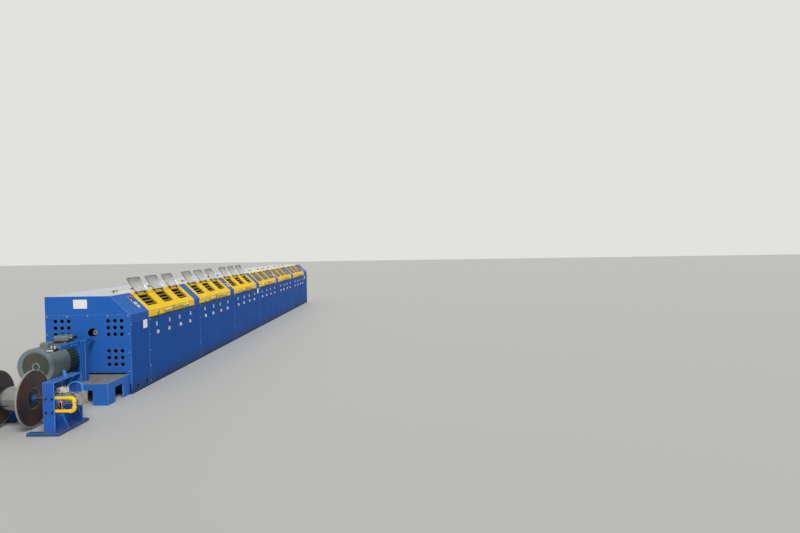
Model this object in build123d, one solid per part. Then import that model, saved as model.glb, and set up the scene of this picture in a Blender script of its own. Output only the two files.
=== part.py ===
from build123d import *
import os
from math import hypot

# Tubular stranding machine: a long sheet-metal housing with six hinged doors, the rotor tube
# that turns inside it, its drive motor, a wire guide and the pay-off stand in front.
# Millimetres. X points across the machine to the door side, Y along it away from the
# pay-off stand, Z up. The origin is on the floor, under the rotor axis and the first bearing.

# Housing section
shaft_height = 680
back_reach = 524
door_reach = 422
top_height = 1086
shoulder_height = 876
slope_run = 217
skin = 4
joint_gap = 2

# Housing length
end_overhang = 60
near_section = 488
far_section = 488
bay_count = 6
door_length = 1520
strip_length = 230
raised_bays = 3

# Base frame
rail_height = 120
rail_width = 60
rail_wall = 8
skirt_clear = 6
cross_beam_width = 60
post_size = 60
post_wall = 5
fork_pocket_width = 76
fork_pocket_height = 60
fork_pocket_wall = 5
fork_pocket_sill = 28
fork_pocket_setbacks = (165, 400)

# End plates
end_plate_bottom = 240
end_seam_height = 883
shaft_hole_radius = 54
vent_radius = 22.5
vent_pitch = 74
vent_rows = 3
vent_group_left = -339
vent_group_right = 249
vent_group_upper = 738
vent_group_lower = 406

# Doors
door_gap = 5
lip_bottom = 796
door_skin = 4
flange_depth = 24
door_hinge_x = -95
hinge_radius = 8
hinge_pin_radius = 4
running_clearance = 0.05
hinge_leaf = 3
hinge_leaf_width = 42
hinge_knuckle = 40
hinge_length = 96
hinge_knuckle_gap = 1
hinges_per_door = 3
window_count = 3
window_start = 55
window_drop = 178
window_width = 320
window_recess = 34
window_rim = 4
window_bar = 20
window_bar_count = 3
window_bar_thick = 6
window_bar_depth = 24
lock_radius = 25
lock_depth = 14
lock_inset = 250
rod_radius = 6
rod_standoff = 16
grip_radius = 12
grip_length = 216
grip_start = 325
pivot_half = 18

# Lids over the windows
lid_axis_run = 34
lid_axis_rise = 14
lid_edge_gap = 13
lid_length = 200
lid_width = 338
lid_sheet = 3
lid_rim = 8
lid_seal = 8
lid_corner = 28
seat_clear = 0.3
lid_hinge_offset = 116
lid_ear = 5
lid_ear_clear = 0.5
lid_knuckle = 36
lid_open_angle = 168

# Rotor
tube_radius = 210
tube_wall = 18
journal_radius = 240
journal_length = 60
bearing_wall = 45
bulkhead_thick = 20
shaft_radius = 27
shaft_bore_radius = 11
shaft_setback = 58
tube_end_clear = 40
cutout_length = 320
cutout_width = 240
cutout_corner = 30
web_thick = 12
cradle_bar = 14
cradle_height = 60
cradle_overlength = 20
trunnion_radius = 8
bobbin_flange_radius = 95
bobbin_barrel_radius = 45
bobbin_width = 150
bobbin_flange = 8

# Latch tabs and square plates on the door-side panels
tab_height = 50
tab_width = 14
tab_depth = 12
tab_level = 697
square_size = 46
square_depth = 3
square_level = 593
tab_shares = (0.116, 0.346, 0.538, 0.771)
square_shares = (0.136, 0.335, 0.561, 0.760)

# Push buttons on the slope
button_radius = 14
button_height = 16
button_pitch = 46
button_count = 4
button_start = 78
mushroom_radius = 20
mushroom_height = 26
button_row_setback = 345
button_plate_length = 188
button_plate_width = 42
button_plate_thick = 3

# Drive motor
motor_x = -294
motor_height = 420
motor_radius = 150
fin_depth = 15
fin_thick = 5
fin_count = 36
motor_length = 225
motor_panel_gap = 40
cowl_radius = 188
cowl_length = 315
cowl_wall = 4
cowl_opening_radius = 140
cowl_lip = 12
foot_thick = 12
foot_spread = 300
foot_length = 60
pedestal_width = 200
motor_shaft_radius = 24
motor_shaft_hole_radius = 40
terminal_box_width = 118
terminal_box_length = 150
terminal_box_height = 96
terminal_lid_width = 152
terminal_lid_length = 190
terminal_lid_height = 48
terminal_lid_corner = 34
cowl_box_width = 78
cowl_box_length = 104
cowl_box_height = 42
terminal_box_offset = 56
cowl_box_offset = 26
terminal_neck_width = 70
box_edge = 12

# Drive platform
platform_reach = 490
platform_right = 392
platform_top = 225
platform_plate = 8
platform_beam = 60
platform_beam_height = 60
platform_leg = 157
platform_leg_wall = 10

# Wire guide
guide_x = 74
guide_setback = 335
guide_post = 60
guide_top = 650
guide_arm_width = 45
guide_arm_height = 45
guide_arm_wall = 6
guide_arm_start = 58
guide_arm_end = 740
guide_head_x = -2
guide_roller_radius = 14
side_roller_radius = 9
guide_roller_pin = 5
guide_roller_length = 68
side_roller_length = 36
side_roller_spacing = 33
guide_head_drop = 28
guide_roller_gap = 27
guide_arm_face = 60
guide_arm_taper = 150
guide_arm_tip = 10
guide_arm_hole_radius = 7
guide_arm_hole_setbacks = (465, 540)

# Pay-off stand
stand_front = 1545
stand_back = 1088
stand_half_width = 449
upright_width = 99
upright_height = 465
upright_plate = 10
stand_bar = 28
floor_bar_width = 60
floor_bar_reach = 154
gusset_reach = 31
gusset_thick = 10
gusset_height = 276
gusset_setbacks = (1379, 1127)
rib_spread = 117
pintle_height = 280
pintle_setback = 1320
reel_left = -205
reel_right = 132
reel_radius = 252
reel_flange = 12
reel_barrel_radius = 96
wire_radius = 106
pintle_radius = 22
pintle_hub_radius = 34
pintle_hub_length = 30
pintle_nose = 40
pintle_stroke = 60
cylinder_length = 233
cylinder_cap = 104
cylinder_cap_thick = 29
cylinder_radius = 42
tie_rod_radius = 5
tie_rod_inset = 12
cylinder_end_wall = 12
guard_pipe_radius = 13.5
guard_reach = 161
guard_low = 214
guard_high = 328
guard_corner = 30
guard_setback = 24
anchor_radius = 9
lug_profile = ((-16, 0), (10, 0), (0, 34), (-10, 64), (-28, 64), (-22, 34))
lug_inset = 16
lug_thick = 14
cross_beam_height = 75
cross_beam_wall = 6
cross_beam_depth = 45
reel_ring_radius = 96
reel_ring_width = 6
reel_rim_width = 10
reel_rim_rise = 3
valve_length = 80
valve_depth = 64
valve_height = 44
valve_bodies = 3
valve_gap = 4

parts = {}

# Places that several pieces share
near_face = -end_overhang
bay_pitch = door_length + strip_length
door_starts = [near_face + near_section + bay * bay_pitch for bay in range(bay_count)]
far_face = door_starts[-1] + door_length + far_section
slope_drop = top_height - shoulder_height
slope_length = hypot(slope_run, slope_drop)
slope_cos = slope_run / slope_length
slope_sin = slope_drop / slope_length
slope_top_x = door_reach - slope_run
bulkhead_places = [0]
bulkhead_places += [start + door_length + strip_length / 2 for start in door_starts[:-1]]
bulkhead_places += [far_face - end_overhang]
window_pitch = door_length / window_count
window_offsets = [(place + 0.5) * window_pitch for place in range(window_count)]
window_places = [start + offset for start in door_starts for offset in window_offsets]
panel_top = lip_bottom - door_gap


def block(x, y, z):
    """A box between two values on each axis."""
    centre = Pos((x[0] + x[1]) / 2, (y[0] + y[1]) / 2, (z[0] + z[1]) / 2)
    return centre * Box(x[1] - x[0], y[1] - y[0], z[1] - z[0])


def prism(points, y):
    """A profile of X and Z points, drawn out along Y."""
    face = make_face(Polyline(*[(px, y[0], pz) for px, pz in points], close=True))
    return extrude(face, amount=y[1] - y[0], dir=(0, 1, 0))


def rod(start, direction, radius, length):
    return Solid.make_cylinder(radius, length, Plane(origin=start, z_dir=direction))


def around(middle, size):
    return (middle - size / 2, middle + size / 2)


def outline(inset, bottom, left=-back_reach):
    """The housing's section, inset from its outer faces, from a bottom height up."""
    corner_shift = inset * (1 - slope_cos) / slope_sin
    shoulder_shift = inset * (1 - slope_sin) / slope_cos
    return [(left, bottom), (left, top_height - inset),
            (slope_top_x - corner_shift, top_height - inset),
            (door_reach - inset, shoulder_height - shoulder_shift),
            (door_reach - inset, bottom)]


def hood_band(thick, left, bottom):
    """The closed strip of sheet over the top, slope and front, one sheet thick."""
    outer = outline(0, bottom, left)[1:]
    inner = outline(thick, bottom, left)[1:]
    return outer + inner[::-1]


def on_slope(y):
    """Axes on the slope: first down it, then along the machine, then out of it."""
    return Plane(origin=(slope_top_x, y, top_height), x_dir=(slope_cos, 0, -slope_sin),
                 z_dir=(slope_sin, 0, slope_cos)).location


# Base frame: two channel rails, cross beams, corner posts and fork pockets, welded
wide_x = (-back_reach, door_reach)
skirt_x = (-back_reach + skin, door_reach - skin)
frame_y = (near_face + skin, far_face - skin)
pocket_z = (fork_pocket_sill, fork_pocket_sill + fork_pocket_height)
pocket_spans = [around(near_face + setback, fork_pocket_width) for setback in fork_pocket_setbacks]
sleeve_z = (pocket_z[0] - fork_pocket_wall, pocket_z[1] + fork_pocket_wall)
sleeve_spans = [(span[0] - fork_pocket_wall, span[1] + fork_pocket_wall) for span in pocket_spans]
rails = []
for outer_x, side in ((skirt_x[0], 1), (skirt_x[1], -1)):
    inner_x = outer_x + side * rail_width
    rail = block(sorted((outer_x, inner_x)), frame_y, (0, rail_height))
    hollow_x = sorted((outer_x + side * rail_wall, inner_x))
    rail -= block(hollow_x, frame_y, (rail_wall, rail_height - rail_wall))
    for span in sleeve_spans:
        rail -= block(skirt_x, span, sleeve_z)
    rails.append(rail)
parts["base_rails"] = Compound(children=rails)

cross_beam = block((skirt_x[0] + rail_wall, skirt_x[1] - rail_wall), around(0, cross_beam_width),
                   (rail_wall, rail_height - rail_wall))
cross_beam += block((skirt_x[0] + rail_width, skirt_x[1] - rail_width),
                    around(0, cross_beam_width), (0, rail_wall))
parts["base_beams"] = Compound(children=[Pos(0, place, 0) * cross_beam
                                         for place in bulkhead_places])

posts = []
for post_y in ((frame_y[0], frame_y[0] + post_wall), (frame_y[1] - post_wall, frame_y[1])):
    for post_x, post_top in ((skirt_x[0], top_height), (skirt_x[1], shoulder_height)):
        side = 1 if post_x < 0 else -1
        leaf_x = sorted((post_x, post_x + side * post_size))
        posts.append(block(leaf_x, post_y, (rail_height, post_top - post_size)))
parts["corner_posts"] = Compound(children=posts)

sleeves = []
for outer_span, inner_span in zip(sleeve_spans, pocket_spans):
    sleeve = block(skirt_x, outer_span, sleeve_z)
    sleeves.append(sleeve - block(skirt_x, inner_span, pocket_z))
parts["fork_pockets"] = Compound(children=sleeves)

# Bulkheads: one plate under each closed strip, with a bearing ring round the rotor
bulkhead = prism(outline(skin, rail_height, -back_reach + skin), around(0, bulkhead_thick))
ring_start = (0, -journal_length / 2, shaft_height)
bulkhead += rod(ring_start, (0, 1, 0), journal_radius + bearing_wall, journal_length)
bulkhead -= rod(ring_start, (0, 1, 0), journal_radius + running_clearance, journal_length)
parts["bulkheads"] = Compound(children=[Pos(0, place, 0) * bulkhead for place in bulkhead_places])


# End plates: a lower plate and a head plate in front, one plate at the back
def vent_places():
    offsets = [(step - (vent_rows - 1) / 2) * vent_pitch for step in range(vent_rows)]
    groups = [(vent_group_left, vent_group_upper), (vent_group_right, vent_group_upper),
              (vent_group_right, vent_group_lower)]
    return [(x + step_x, z + step_z) for x, z in groups for step_x in offsets for step_z in offsets]


end_y = (near_face, near_face + skin)
whole_end = prism(outline(0, end_plate_bottom), end_y)
holes = [rod((0, near_face, shaft_height), (0, 1, 0), shaft_hole_radius, skin),
         rod((motor_x, near_face, motor_height), (0, 1, 0), motor_shaft_hole_radius, skin)]
holes += [rod((x, near_face, z), (0, 1, 0), vent_radius, skin) for x, z in vent_places()]
whole_end = whole_end.cut(*holes)
parts["near_end_panel"] = whole_end & block(wide_x, end_y, (end_plate_bottom, end_seam_height))
head_z = (end_seam_height + joint_gap, top_height)
parts["near_end_head_plate"] = whole_end & block(wide_x, end_y, head_z)
far_end = prism(outline(0, skirt_clear), (far_face - skin, far_face))
far_end -= rod((0, far_face - skin, shaft_height), (0, 1, 0), shaft_hole_radius, skin)
parts["far_end_panel"] = far_end

# Skins: lower panels on both sides, the fixed part of the top and the closed strips
panel_joints = [frame_y[0]] + door_starts + [door_starts[-1] + door_length, frame_y[1]]
pocket_cuts = [block(wide_x, span, pocket_z) for span in pocket_spans]
front_panels = []
back_panels = []
for start, end in zip(panel_joints, panel_joints[1:]):
    panel_y = (start, end - joint_gap) if end < frame_y[1] else (start, end)
    front = block((door_reach - skin, door_reach), panel_y, (skirt_clear, panel_top))
    back = block((-back_reach, -back_reach + skin), panel_y, (skirt_clear, top_height - skin))
    for cut, span in zip(pocket_cuts, pocket_spans):
        if start < span[1] and span[0] < end:
            front -= cut
            back -= cut
    front_panels.append(front)
    back_panels.append(back)
parts["front_panels"] = Compound(children=front_panels)
parts["back_panels"] = Compound(children=back_panels)

cover_edge = door_hinge_x - door_gap
hinge_z = top_height + hinge_radius
hinge_offsets = [(step + 0.5) / hinges_per_door * door_length for step in range(hinges_per_door)]
knuckle_start = hinge_knuckle / 2 + hinge_knuckle_gap
knuckle_length = hinge_length / 2 - knuckle_start
hinge = rod((door_hinge_x, -hinge_length / 2, hinge_z), (0, 1, 0), hinge_pin_radius, hinge_length)
for low in (-hinge_length / 2, knuckle_start):
    hinge += rod((door_hinge_x, low, hinge_z), (0, 1, 0), hinge_radius, knuckle_length)
    hinge += block((door_hinge_x - hinge_leaf_width, door_hinge_x), (low, low + knuckle_length),
                   (top_height, top_height + hinge_leaf))
hinges = [Pos(0, start + offset, 0) * hinge for start in door_starts for offset in hinge_offsets]
cover = block((-back_reach, cover_edge), frame_y, (top_height - skin, top_height))
parts["top_cover"] = cover.fuse(*hinges)

hood_profile = hood_band(skin, cover_edge + joint_gap, panel_top + joint_gap)
parts["end_hoods"] = Compound(children=[
    prism(hood_profile, (frame_y[0], door_starts[0] - door_gap)),
    prism(hood_profile, (door_starts[-1] + door_length + door_gap, frame_y[1]))])
strip = prism(hood_profile, (door_length + door_gap, bay_pitch - door_gap))
parts["gap_strips"] = Compound(children=[Pos(0, start, 0) * strip for start in door_starts[:-1]])


# Doors: sheet over top, slope and lip with folded edges, three barred windows, hinge
# knuckles at the back, lid hinges at the top of the slope, and locks and a rod on the lip
lid_hinge_spans = [around(side * lid_hinge_offset, lid_knuckle) for side in (-1, 1)]


def make_window():
    """The recessed tray of one window and its bars, on the slope."""
    run = (window_start, window_start + window_drop)
    across = around(0, window_width)
    wider = (run[0] - window_rim, run[1] + window_rim)
    longer = (across[0] - window_rim, across[1] + window_rim)
    tray = block(wider, longer, (-window_recess, -door_skin / 2))
    tray -= block(run, across, (-window_recess, 0))
    slot = (window_drop - window_bar_count * window_bar) / (window_bar_count + 1)
    depth = (-window_bar_depth - window_bar_thick, -window_bar_depth)
    for bar in range(window_bar_count):
        bar_start = window_start + slot + bar * (slot + window_bar)
        tray += block((bar_start, bar_start + window_bar), longer, depth)
    return tray


def make_lid_seats():
    """The ears and pins that carry one lid, on the slope."""
    pieces = []
    for low, high in lid_hinge_spans:
        pin_low = low - lid_ear_clear - lid_ear
        pin_high = high + lid_ear_clear + lid_ear
        for ear_low in (pin_low, pin_high - lid_ear):
            ear = block(around(lid_axis_run, 2 * hinge_radius), (ear_low, ear_low + lid_ear),
                        (-door_skin / 2, lid_axis_rise))
            ear += rod((lid_axis_run, ear_low, lid_axis_rise), (0, 1, 0), hinge_radius, lid_ear)
            pieces.append(ear)
        pieces.append(rod((lid_axis_run, pin_low, lid_axis_rise), (0, 1, 0), hinge_pin_radius,
                          pin_high - pin_low))
    return pieces[0].fuse(*pieces[1:])


def make_lip_gear():
    """Two locks and the rod with its grip and pivot, on the lip."""
    level = (lip_bottom + shoulder_height) / 2
    seat_x = door_reach - door_skin / 2
    middle = door_length / 2
    rod_x = door_reach + rod_standoff
    rod_low = middle - grip_start
    rod_high = door_length - lock_inset
    pieces = [rod((seat_x, lock_y, level), (1, 0, 0), lock_radius, lock_depth + door_skin / 2)
              for lock_y in (lock_inset, door_length - lock_inset)]
    pieces.append(rod((rod_x, rod_low, level), (0, 1, 0), rod_radius, rod_high - rod_low))
    pieces.append(rod((rod_x, rod_low, level), (0, 1, 0), grip_radius, grip_length))
    pieces.append(block((seat_x, rod_x + rod_radius), around(middle, 2 * pivot_half),
                        around(level, 2 * pivot_half)))
    pieces.append(block((seat_x, rod_x + rod_radius), around(rod_high, 2 * rod_radius),
                        around(level, 2 * rod_radius)))
    return pieces


def make_door():
    door_y = (0, door_length)
    left = door_hinge_x + door_gap
    door = prism(hood_band(door_skin, left, lip_bottom), door_y)
    edge = hood_band(flange_depth, left, lip_bottom)
    door += prism(edge, (0, door_skin))
    door += prism(edge, (door_length - door_skin, door_length))
    door += block((left, left + door_skin), door_y, (top_height - flange_depth, top_height))
    door += block((door_reach - flange_depth, door_reach), door_y,
                  (lip_bottom, lip_bottom + door_skin))
    hole = block((window_start, window_start + window_drop), around(0, window_width),
                 (-2 * door_skin, door_skin))
    window = make_window()
    seats = make_lid_seats()
    for offset in window_offsets:
        door -= on_slope(offset) * hole
        door += on_slope(offset) * window
        door += on_slope(offset) * seats
    for offset in hinge_offsets:
        span = around(offset, hinge_knuckle)
        door += block((door_hinge_x, door_hinge_x + hinge_leaf_width), span,
                      (top_height, top_height + hinge_leaf))
        door += rod((door_hinge_x, span[0], hinge_z), (0, 1, 0), hinge_radius, hinge_knuckle)
        door -= rod((door_hinge_x, span[0], hinge_z), (0, 1, 0),
                    hinge_pin_radius + running_clearance, hinge_knuckle)
    for piece in make_lip_gear():
        door += piece
    return door


door_shape = make_door()
for bay, start in enumerate(door_starts):
    parts[f"door_bay_{bay + 1}"] = Pos(0, start, 0) * door_shape


# Lids: sheet with rounded corners and a rim, on two knuckles
def make_lid():
    near_run = lid_axis_run + lid_edge_gap
    sheet_z = (seat_clear + lid_seal, seat_clear + lid_seal + lid_sheet)
    middle_run = near_run + lid_length / 2
    face = RectangleRounded(lid_length, lid_width, lid_corner)
    lid = Pos(middle_run, 0, sheet_z[0]) * extrude(face, amount=lid_sheet)
    ring = face - RectangleRounded(lid_length - 2 * lid_rim, lid_width - 2 * lid_rim,
                                   lid_corner - lid_rim)
    lid += Pos(middle_run, 0, seat_clear) * extrude(ring, amount=sheet_z[0] - seat_clear)
    for low, high in lid_hinge_spans:
        lid += rod((lid_axis_run, low, lid_axis_rise), (0, 1, 0), hinge_radius, high - low)
        lid += block((lid_axis_run, near_run + lid_rim), (low, high),
                     sheet_z)
        lid -= rod((lid_axis_run, low, lid_axis_rise), (0, 1, 0),
                   hinge_pin_radius + running_clearance, high - low)
    return lid


closed_lid = make_lid()
lid_axis = Axis((lid_axis_run, 0, lid_axis_rise), (0, -1, 0))
raised_lid = closed_lid.rotate(lid_axis, lid_open_angle)
for index, centre in enumerate(window_places):
    shape = raised_lid if index < raised_bays * window_count else closed_lid
    parts[f"lid_{index + 1}"] = on_slope(centre) * shape


# Rotor: tube with a cut-out for each bobbin, journals in the bearing rings, hollow shafts
def make_rotor():
    low = bulkhead_places[0] - journal_length / 2 + tube_end_clear
    high = bulkhead_places[-1] + journal_length / 2 - tube_end_clear
    tube = rod((0, low, shaft_height), (0, 1, 0), tube_radius, high - low)
    tube -= rod((0, low + web_thick, shaft_height), (0, 1, 0), tube_radius - tube_wall,
                high - low - 2 * web_thick)
    across = Plane(origin=(0, 0, shaft_height), x_dir=(0, 1, 0),
                   z_dir=(slope_sin, 0, slope_cos)).location
    hole = extrude(RectangleRounded(cutout_length, cutout_width, cutout_corner),
                   amount=tube_radius, both=True)
    holes = [across * (Pos(centre, 0, 0) * hole) for centre in window_places]
    tube = tube.cut(*holes)
    ring = rod((0, -journal_length / 2, shaft_height), (0, 1, 0), journal_radius, journal_length)
    ring -= rod((0, -journal_length / 2, shaft_height), (0, 1, 0), tube_radius - tube_wall / 2,
                journal_length)
    pieces = [Pos(0, place, 0) * ring for place in bulkhead_places]
    shaft_start = near_face + skin + shaft_setback
    shaft_end = far_face - skin - shaft_setback
    spans = ((shaft_start, low + web_thick), (high - web_thick, shaft_end))
    pieces += [rod((0, start, shaft_height), (0, 1, 0), shaft_radius, end - start)
               for start, end in spans]
    tube = tube.fuse(*pieces)
    return tube.cut(*[rod((0, start, shaft_height), (0, 1, 0), shaft_bore_radius, end - start)
                      for start, end in spans])


parts["rotor_tube"] = make_rotor()


# Bobbins in their cradles, one behind each window
def make_cradle():
    half_length = cutout_length / 2 + cradle_overlength
    half_bobbin = bobbin_width / 2
    side = half_bobbin + cradle_bar
    height = around(0, cradle_height)
    cradle = block((-side, side), (-half_length, half_length), height)
    cradle -= block((-half_bobbin - seat_clear, half_bobbin + seat_clear),
                    (-half_length + cradle_bar, half_length - cradle_bar), height)
    reach = tube_radius - tube_wall - 2 * seat_clear
    for low in (-reach, side):
        cradle += rod((low, 0, 0), (1, 0, 0), trunnion_radius, reach - side)
    return cradle


def make_bobbin():
    half = bobbin_width / 2
    bobbin = rod((-half, 0, 0), (1, 0, 0), bobbin_barrel_radius, bobbin_width)
    for low in (-half, half - bobbin_flange):
        bobbin += rod((low, 0, 0), (1, 0, 0), bobbin_flange_radius, bobbin_flange)
    return bobbin


cradle = make_cradle()
bobbin = make_bobbin()
stations = [Pos(0, centre, shaft_height) for centre in window_places]
parts["bobbin_cradles"] = Compound(children=[station * cradle for station in stations])
parts["bobbins"] = Compound(children=[station * bobbin for station in stations])

# Latch tabs and square plates on the door-side panels
trims = []
for start in door_starts:
    for shares, width, height, depth, level in (
            (tab_shares, tab_width, tab_height, tab_depth, tab_level),
            (square_shares, square_size, square_size, square_depth, square_level)):
        trims += [block((door_reach, door_reach + depth), around(start + share * bay_pitch, width),
                        around(level, height)) for share in shares]
parts["panel_latches"] = Compound(children=trims)

# Push buttons: a row on a plate on each end hood and on the second and fourth closed strips
button_places = [button_start + step * button_pitch for step in range(button_count)]
row_middle = sum(button_places) / button_count
button_row = block(around(row_middle, button_plate_length), around(0, button_plate_width),
                   (0, button_plate_thick))
button_row += rod((button_places[0], 0, 0), (0, 0, 1), mushroom_radius, mushroom_height)
for place in button_places[1:]:
    button_row += rod((place, 0, 0), (0, 0, 1), button_radius, button_height)
row_places = [near_face + button_row_setback, door_starts[1] + door_length + strip_length / 2,
              door_starts[3] + door_length + strip_length / 2, far_face - button_row_setback]
parts["control_buttons"] = Compound(children=[on_slope(place) * button_row
                                              for place in row_places])

# Drive platform: a beam frame on plate legs with a top plate
platform_x = (-back_reach, platform_right)
platform_y = (near_face - platform_reach, near_face + skin)
plate_base = platform_top - platform_plate
leg_top = plate_base - platform_beam_height
platform = block(platform_x, platform_y, (leg_top, plate_base))
platform -= block((platform_x[0] + platform_beam, platform_x[1] - platform_beam),
                  (platform_y[0] + platform_beam, platform_y[1] - platform_beam),
                  (leg_top, plate_base))
platform += block(platform_x, (platform_y[0], near_face), (plate_base, platform_top))
for leg_x in (platform_x[0], platform_x[1] - platform_leg):
    platform += block((leg_x, leg_x + platform_leg),
                      (platform_y[0], platform_y[0] + platform_leg_wall), (0, leg_top))
for leg_x in (platform_x[0], platform_x[1] - platform_leg_wall):
    side_x = (leg_x, leg_x + platform_leg_wall)
    platform += block(side_x, (platform_y[0], platform_y[0] + platform_leg), (0, leg_top))
    platform += block(side_x, (platform_y[1] - platform_leg, platform_y[1]), (0, leg_top))
parts["drive_platform"] = platform


# Motor: finned body on feet, shaft into the housing, fan cowl behind, boxes on top
def make_motor():
    start = near_face - motor_panel_gap - motor_length
    end = start + motor_length
    body = rod((0, start, 0), (0, 1, 0), motor_radius, motor_length)
    fin = block(around(0, fin_thick), (start, end),
                (motor_radius - fin_depth, motor_radius + fin_depth))
    fins = [Rot(0, turn * 360 / fin_count, 0) * fin for turn in range(fin_count)]
    body = body.fuse(*fins)
    body += rod((0, end, 0), (0, 1, 0), motor_shaft_radius,
                motor_panel_gap + skin + rail_width / 2)
    floor = platform_top - motor_height
    for foot_y in (start, end - foot_length):
        span = (foot_y, foot_y + foot_length)
        body += block(around(0, foot_spread), span, (floor, floor + foot_thick))
        body += block(around(0, pedestal_width), span, (floor, -motor_radius / 2))
    return Pos(motor_x, 0, motor_height) * body


parts["motor_body"] = make_motor()
body_start = near_face - motor_panel_gap - motor_length
cowl_start = body_start - cowl_length
cowl_origin = (motor_x, cowl_start, motor_height)
cowl = rod(cowl_origin, (0, 1, 0), cowl_radius, cowl_length)
cowl -= rod((motor_x, cowl_start + cowl_lip, motor_height), (0, 1, 0), cowl_radius - cowl_wall,
            cowl_length - 2 * cowl_lip)
cowl -= rod(cowl_origin, (0, 1, 0), cowl_opening_radius, cowl_lip / 2)
parts["fan_cowl"] = cowl
body_middle = body_start + motor_length / 2
box_base = motor_height + motor_radius + fin_depth
box_top = box_base + terminal_box_height
lid_base = box_top - terminal_lid_height
terminal_x = motor_x + terminal_box_offset
box_lid = block(around(terminal_x, terminal_lid_width), around(body_middle, terminal_lid_length),
                (lid_base, box_top))
box_lid = chamfer(box_lid.edges().filter_by(Axis.Z), terminal_lid_corner)
box_lid = chamfer(box_lid.edges().group_by(Axis.Z)[-1], box_edge)
terminals = box_lid + block(around(terminal_x, terminal_box_width),
                            around(body_middle, terminal_box_length), (box_base, lid_base))
terminals += block(around(terminal_x, terminal_neck_width),
                   around(body_middle, terminal_box_length - 2 * box_edge), (motor_height, box_base))
fin_reach = hypot(motor_radius + fin_depth, fin_thick / 2)
terminals -= rod((motor_x, body_start, motor_height), (0, 1, 0), fin_reach, motor_length)
small_base = motor_height + cowl_radius
cowl_middle = cowl_start + cowl_length / 2
cowl_terminals = block(around(motor_x + cowl_box_offset, cowl_box_width),
                       around(cowl_middle, cowl_box_length),
                       (motor_height, small_base + cowl_box_height))
cowl_terminals = chamfer(cowl_terminals.edges().group_by(Axis.Z)[-1], box_edge)
cowl_terminals -= rod(cowl_origin, (0, 1, 0), cowl_radius, cowl_length)
parts["terminal_boxes"] = Compound(children=[terminals, cowl_terminals])

# Wire guide: post on the platform, angle arm along the wire, roller head at its front end
post_y = near_face - guide_setback
arm_y = (near_face - guide_arm_end, near_face - guide_arm_start)
arm_x = (guide_arm_face - guide_arm_width, guide_arm_face)
guide = block(around(guide_x, guide_post), around(post_y, guide_post), (platform_top, guide_top))
guide += block(arm_x, arm_y, (guide_top, guide_top + guide_arm_wall))
arm_z = (guide_top + guide_arm_wall - guide_arm_height, guide_top + guide_arm_wall)
guide += block((arm_x[1] - guide_arm_wall, arm_x[1]), arm_y, arm_z)
taper = make_face(Polyline((arm_x[0], arm_y[1] - guide_arm_taper, arm_z[0]),
                           (arm_x[0], arm_y[1], arm_z[1] - guide_arm_tip),
                           (arm_x[0], arm_y[1], arm_z[0]), close=True))
guide -= extrude(taper, amount=guide_arm_width, dir=(1, 0, 0))
leg_middle = (arm_z[0] + guide_top) / 2
for setback in guide_arm_hole_setbacks:
    guide -= rod((arm_x[1] - guide_arm_wall, near_face - setback, leg_middle), (1, 0, 0),
                 guide_arm_hole_radius, guide_arm_wall)
side_y = arm_y[0] - side_roller_radius * 2
low_y = side_y - side_roller_radius - guide_roller_radius - guide_roller_gap
head_z = (guide_top - guide_head_drop, guide_top - guide_head_drop + guide_arm_wall)
side_z = head_z[1]
head_half = guide_roller_length / 2 + joint_gap
guide += block((guide_head_x - head_half - guide_arm_wall, arm_x[1]),
               (side_y - side_roller_radius, arm_y[0] + guide_arm_width), head_z)
low_z = head_z[0] - guide_roller_radius / 2
for cheek_x in (guide_head_x - head_half - guide_arm_wall, guide_head_x + head_half):
    guide += block((cheek_x, cheek_x + guide_arm_wall),
                   (low_y - guide_roller_pin, side_y + side_roller_radius),
                   (low_z - guide_roller_pin, head_z[1]))
guide += rod((guide_head_x - head_half - guide_arm_wall, low_y, low_z), (1, 0, 0),
             guide_roller_pin, 2 * (head_half + guide_arm_wall))
side_places = [guide_head_x + side * side_roller_spacing / 2 for side in (-1, 1)]
for side_x in side_places:
    guide += rod((side_x, side_y, head_z[0]), (0, 0, 1), guide_roller_pin,
                 guide_arm_wall + side_roller_length + 2 * joint_gap)
parts["guide_post"] = guide
sleeve_radius = guide_roller_pin + running_clearance
low_start = (guide_head_x - guide_roller_length / 2, low_y, low_z)
low_roller = rod(low_start, (1, 0, 0), guide_roller_radius, guide_roller_length)
low_roller -= rod(low_start, (1, 0, 0), sleeve_radius, guide_roller_length)
parts["guide_roller_low"] = low_roller
for name, side_x in zip(("guide_roller_left", "guide_roller_right"), side_places):
    start = (side_x, side_y, side_z + seat_clear)
    side_roller = rod(start, (0, 0, 1), side_roller_radius, side_roller_length)
    parts[name] = side_roller - rod(start, (0, 0, 1), sleeve_radius, side_roller_length)

# Pay-off stand: two uprights, open on their outer side with ribs and gussets, on floor bars
stand_y = (near_face - stand_front, near_face - stand_back)
pintle_y = near_face - pintle_setback
web_face = stand_half_width - upright_width + upright_plate


def make_upright():
    """The right upright; the left one is its mirror image."""
    inner = stand_half_width - upright_width
    upright = block((inner, stand_half_width), stand_y, (stand_bar, upright_height))
    upright -= block((web_face, stand_half_width),
                     (stand_y[0] + upright_plate, stand_y[1] - upright_plate),
                     (stand_bar, upright_height - upright_plate))
    top = upright_height - upright_plate
    for rib_y in (pintle_y - rib_spread, pintle_y + rib_spread):
        upright += prism([(web_face, top), (stand_half_width, top),
                          (web_face, top - upright_width)], around(rib_y, gusset_thick))
    for setback in gusset_setbacks:
        upright += prism([(web_face, stand_bar), (web_face, stand_bar + gusset_height),
                          (stand_half_width + gusset_reach, stand_bar)],
                         around(near_face - setback, gusset_thick))
    lug_x = stand_half_width - lug_inset
    lug = [(lug_x + across, upright_height + up) for across, up in lug_profile]
    return upright + prism(lug, around(pintle_y, lug_thick))


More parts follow.
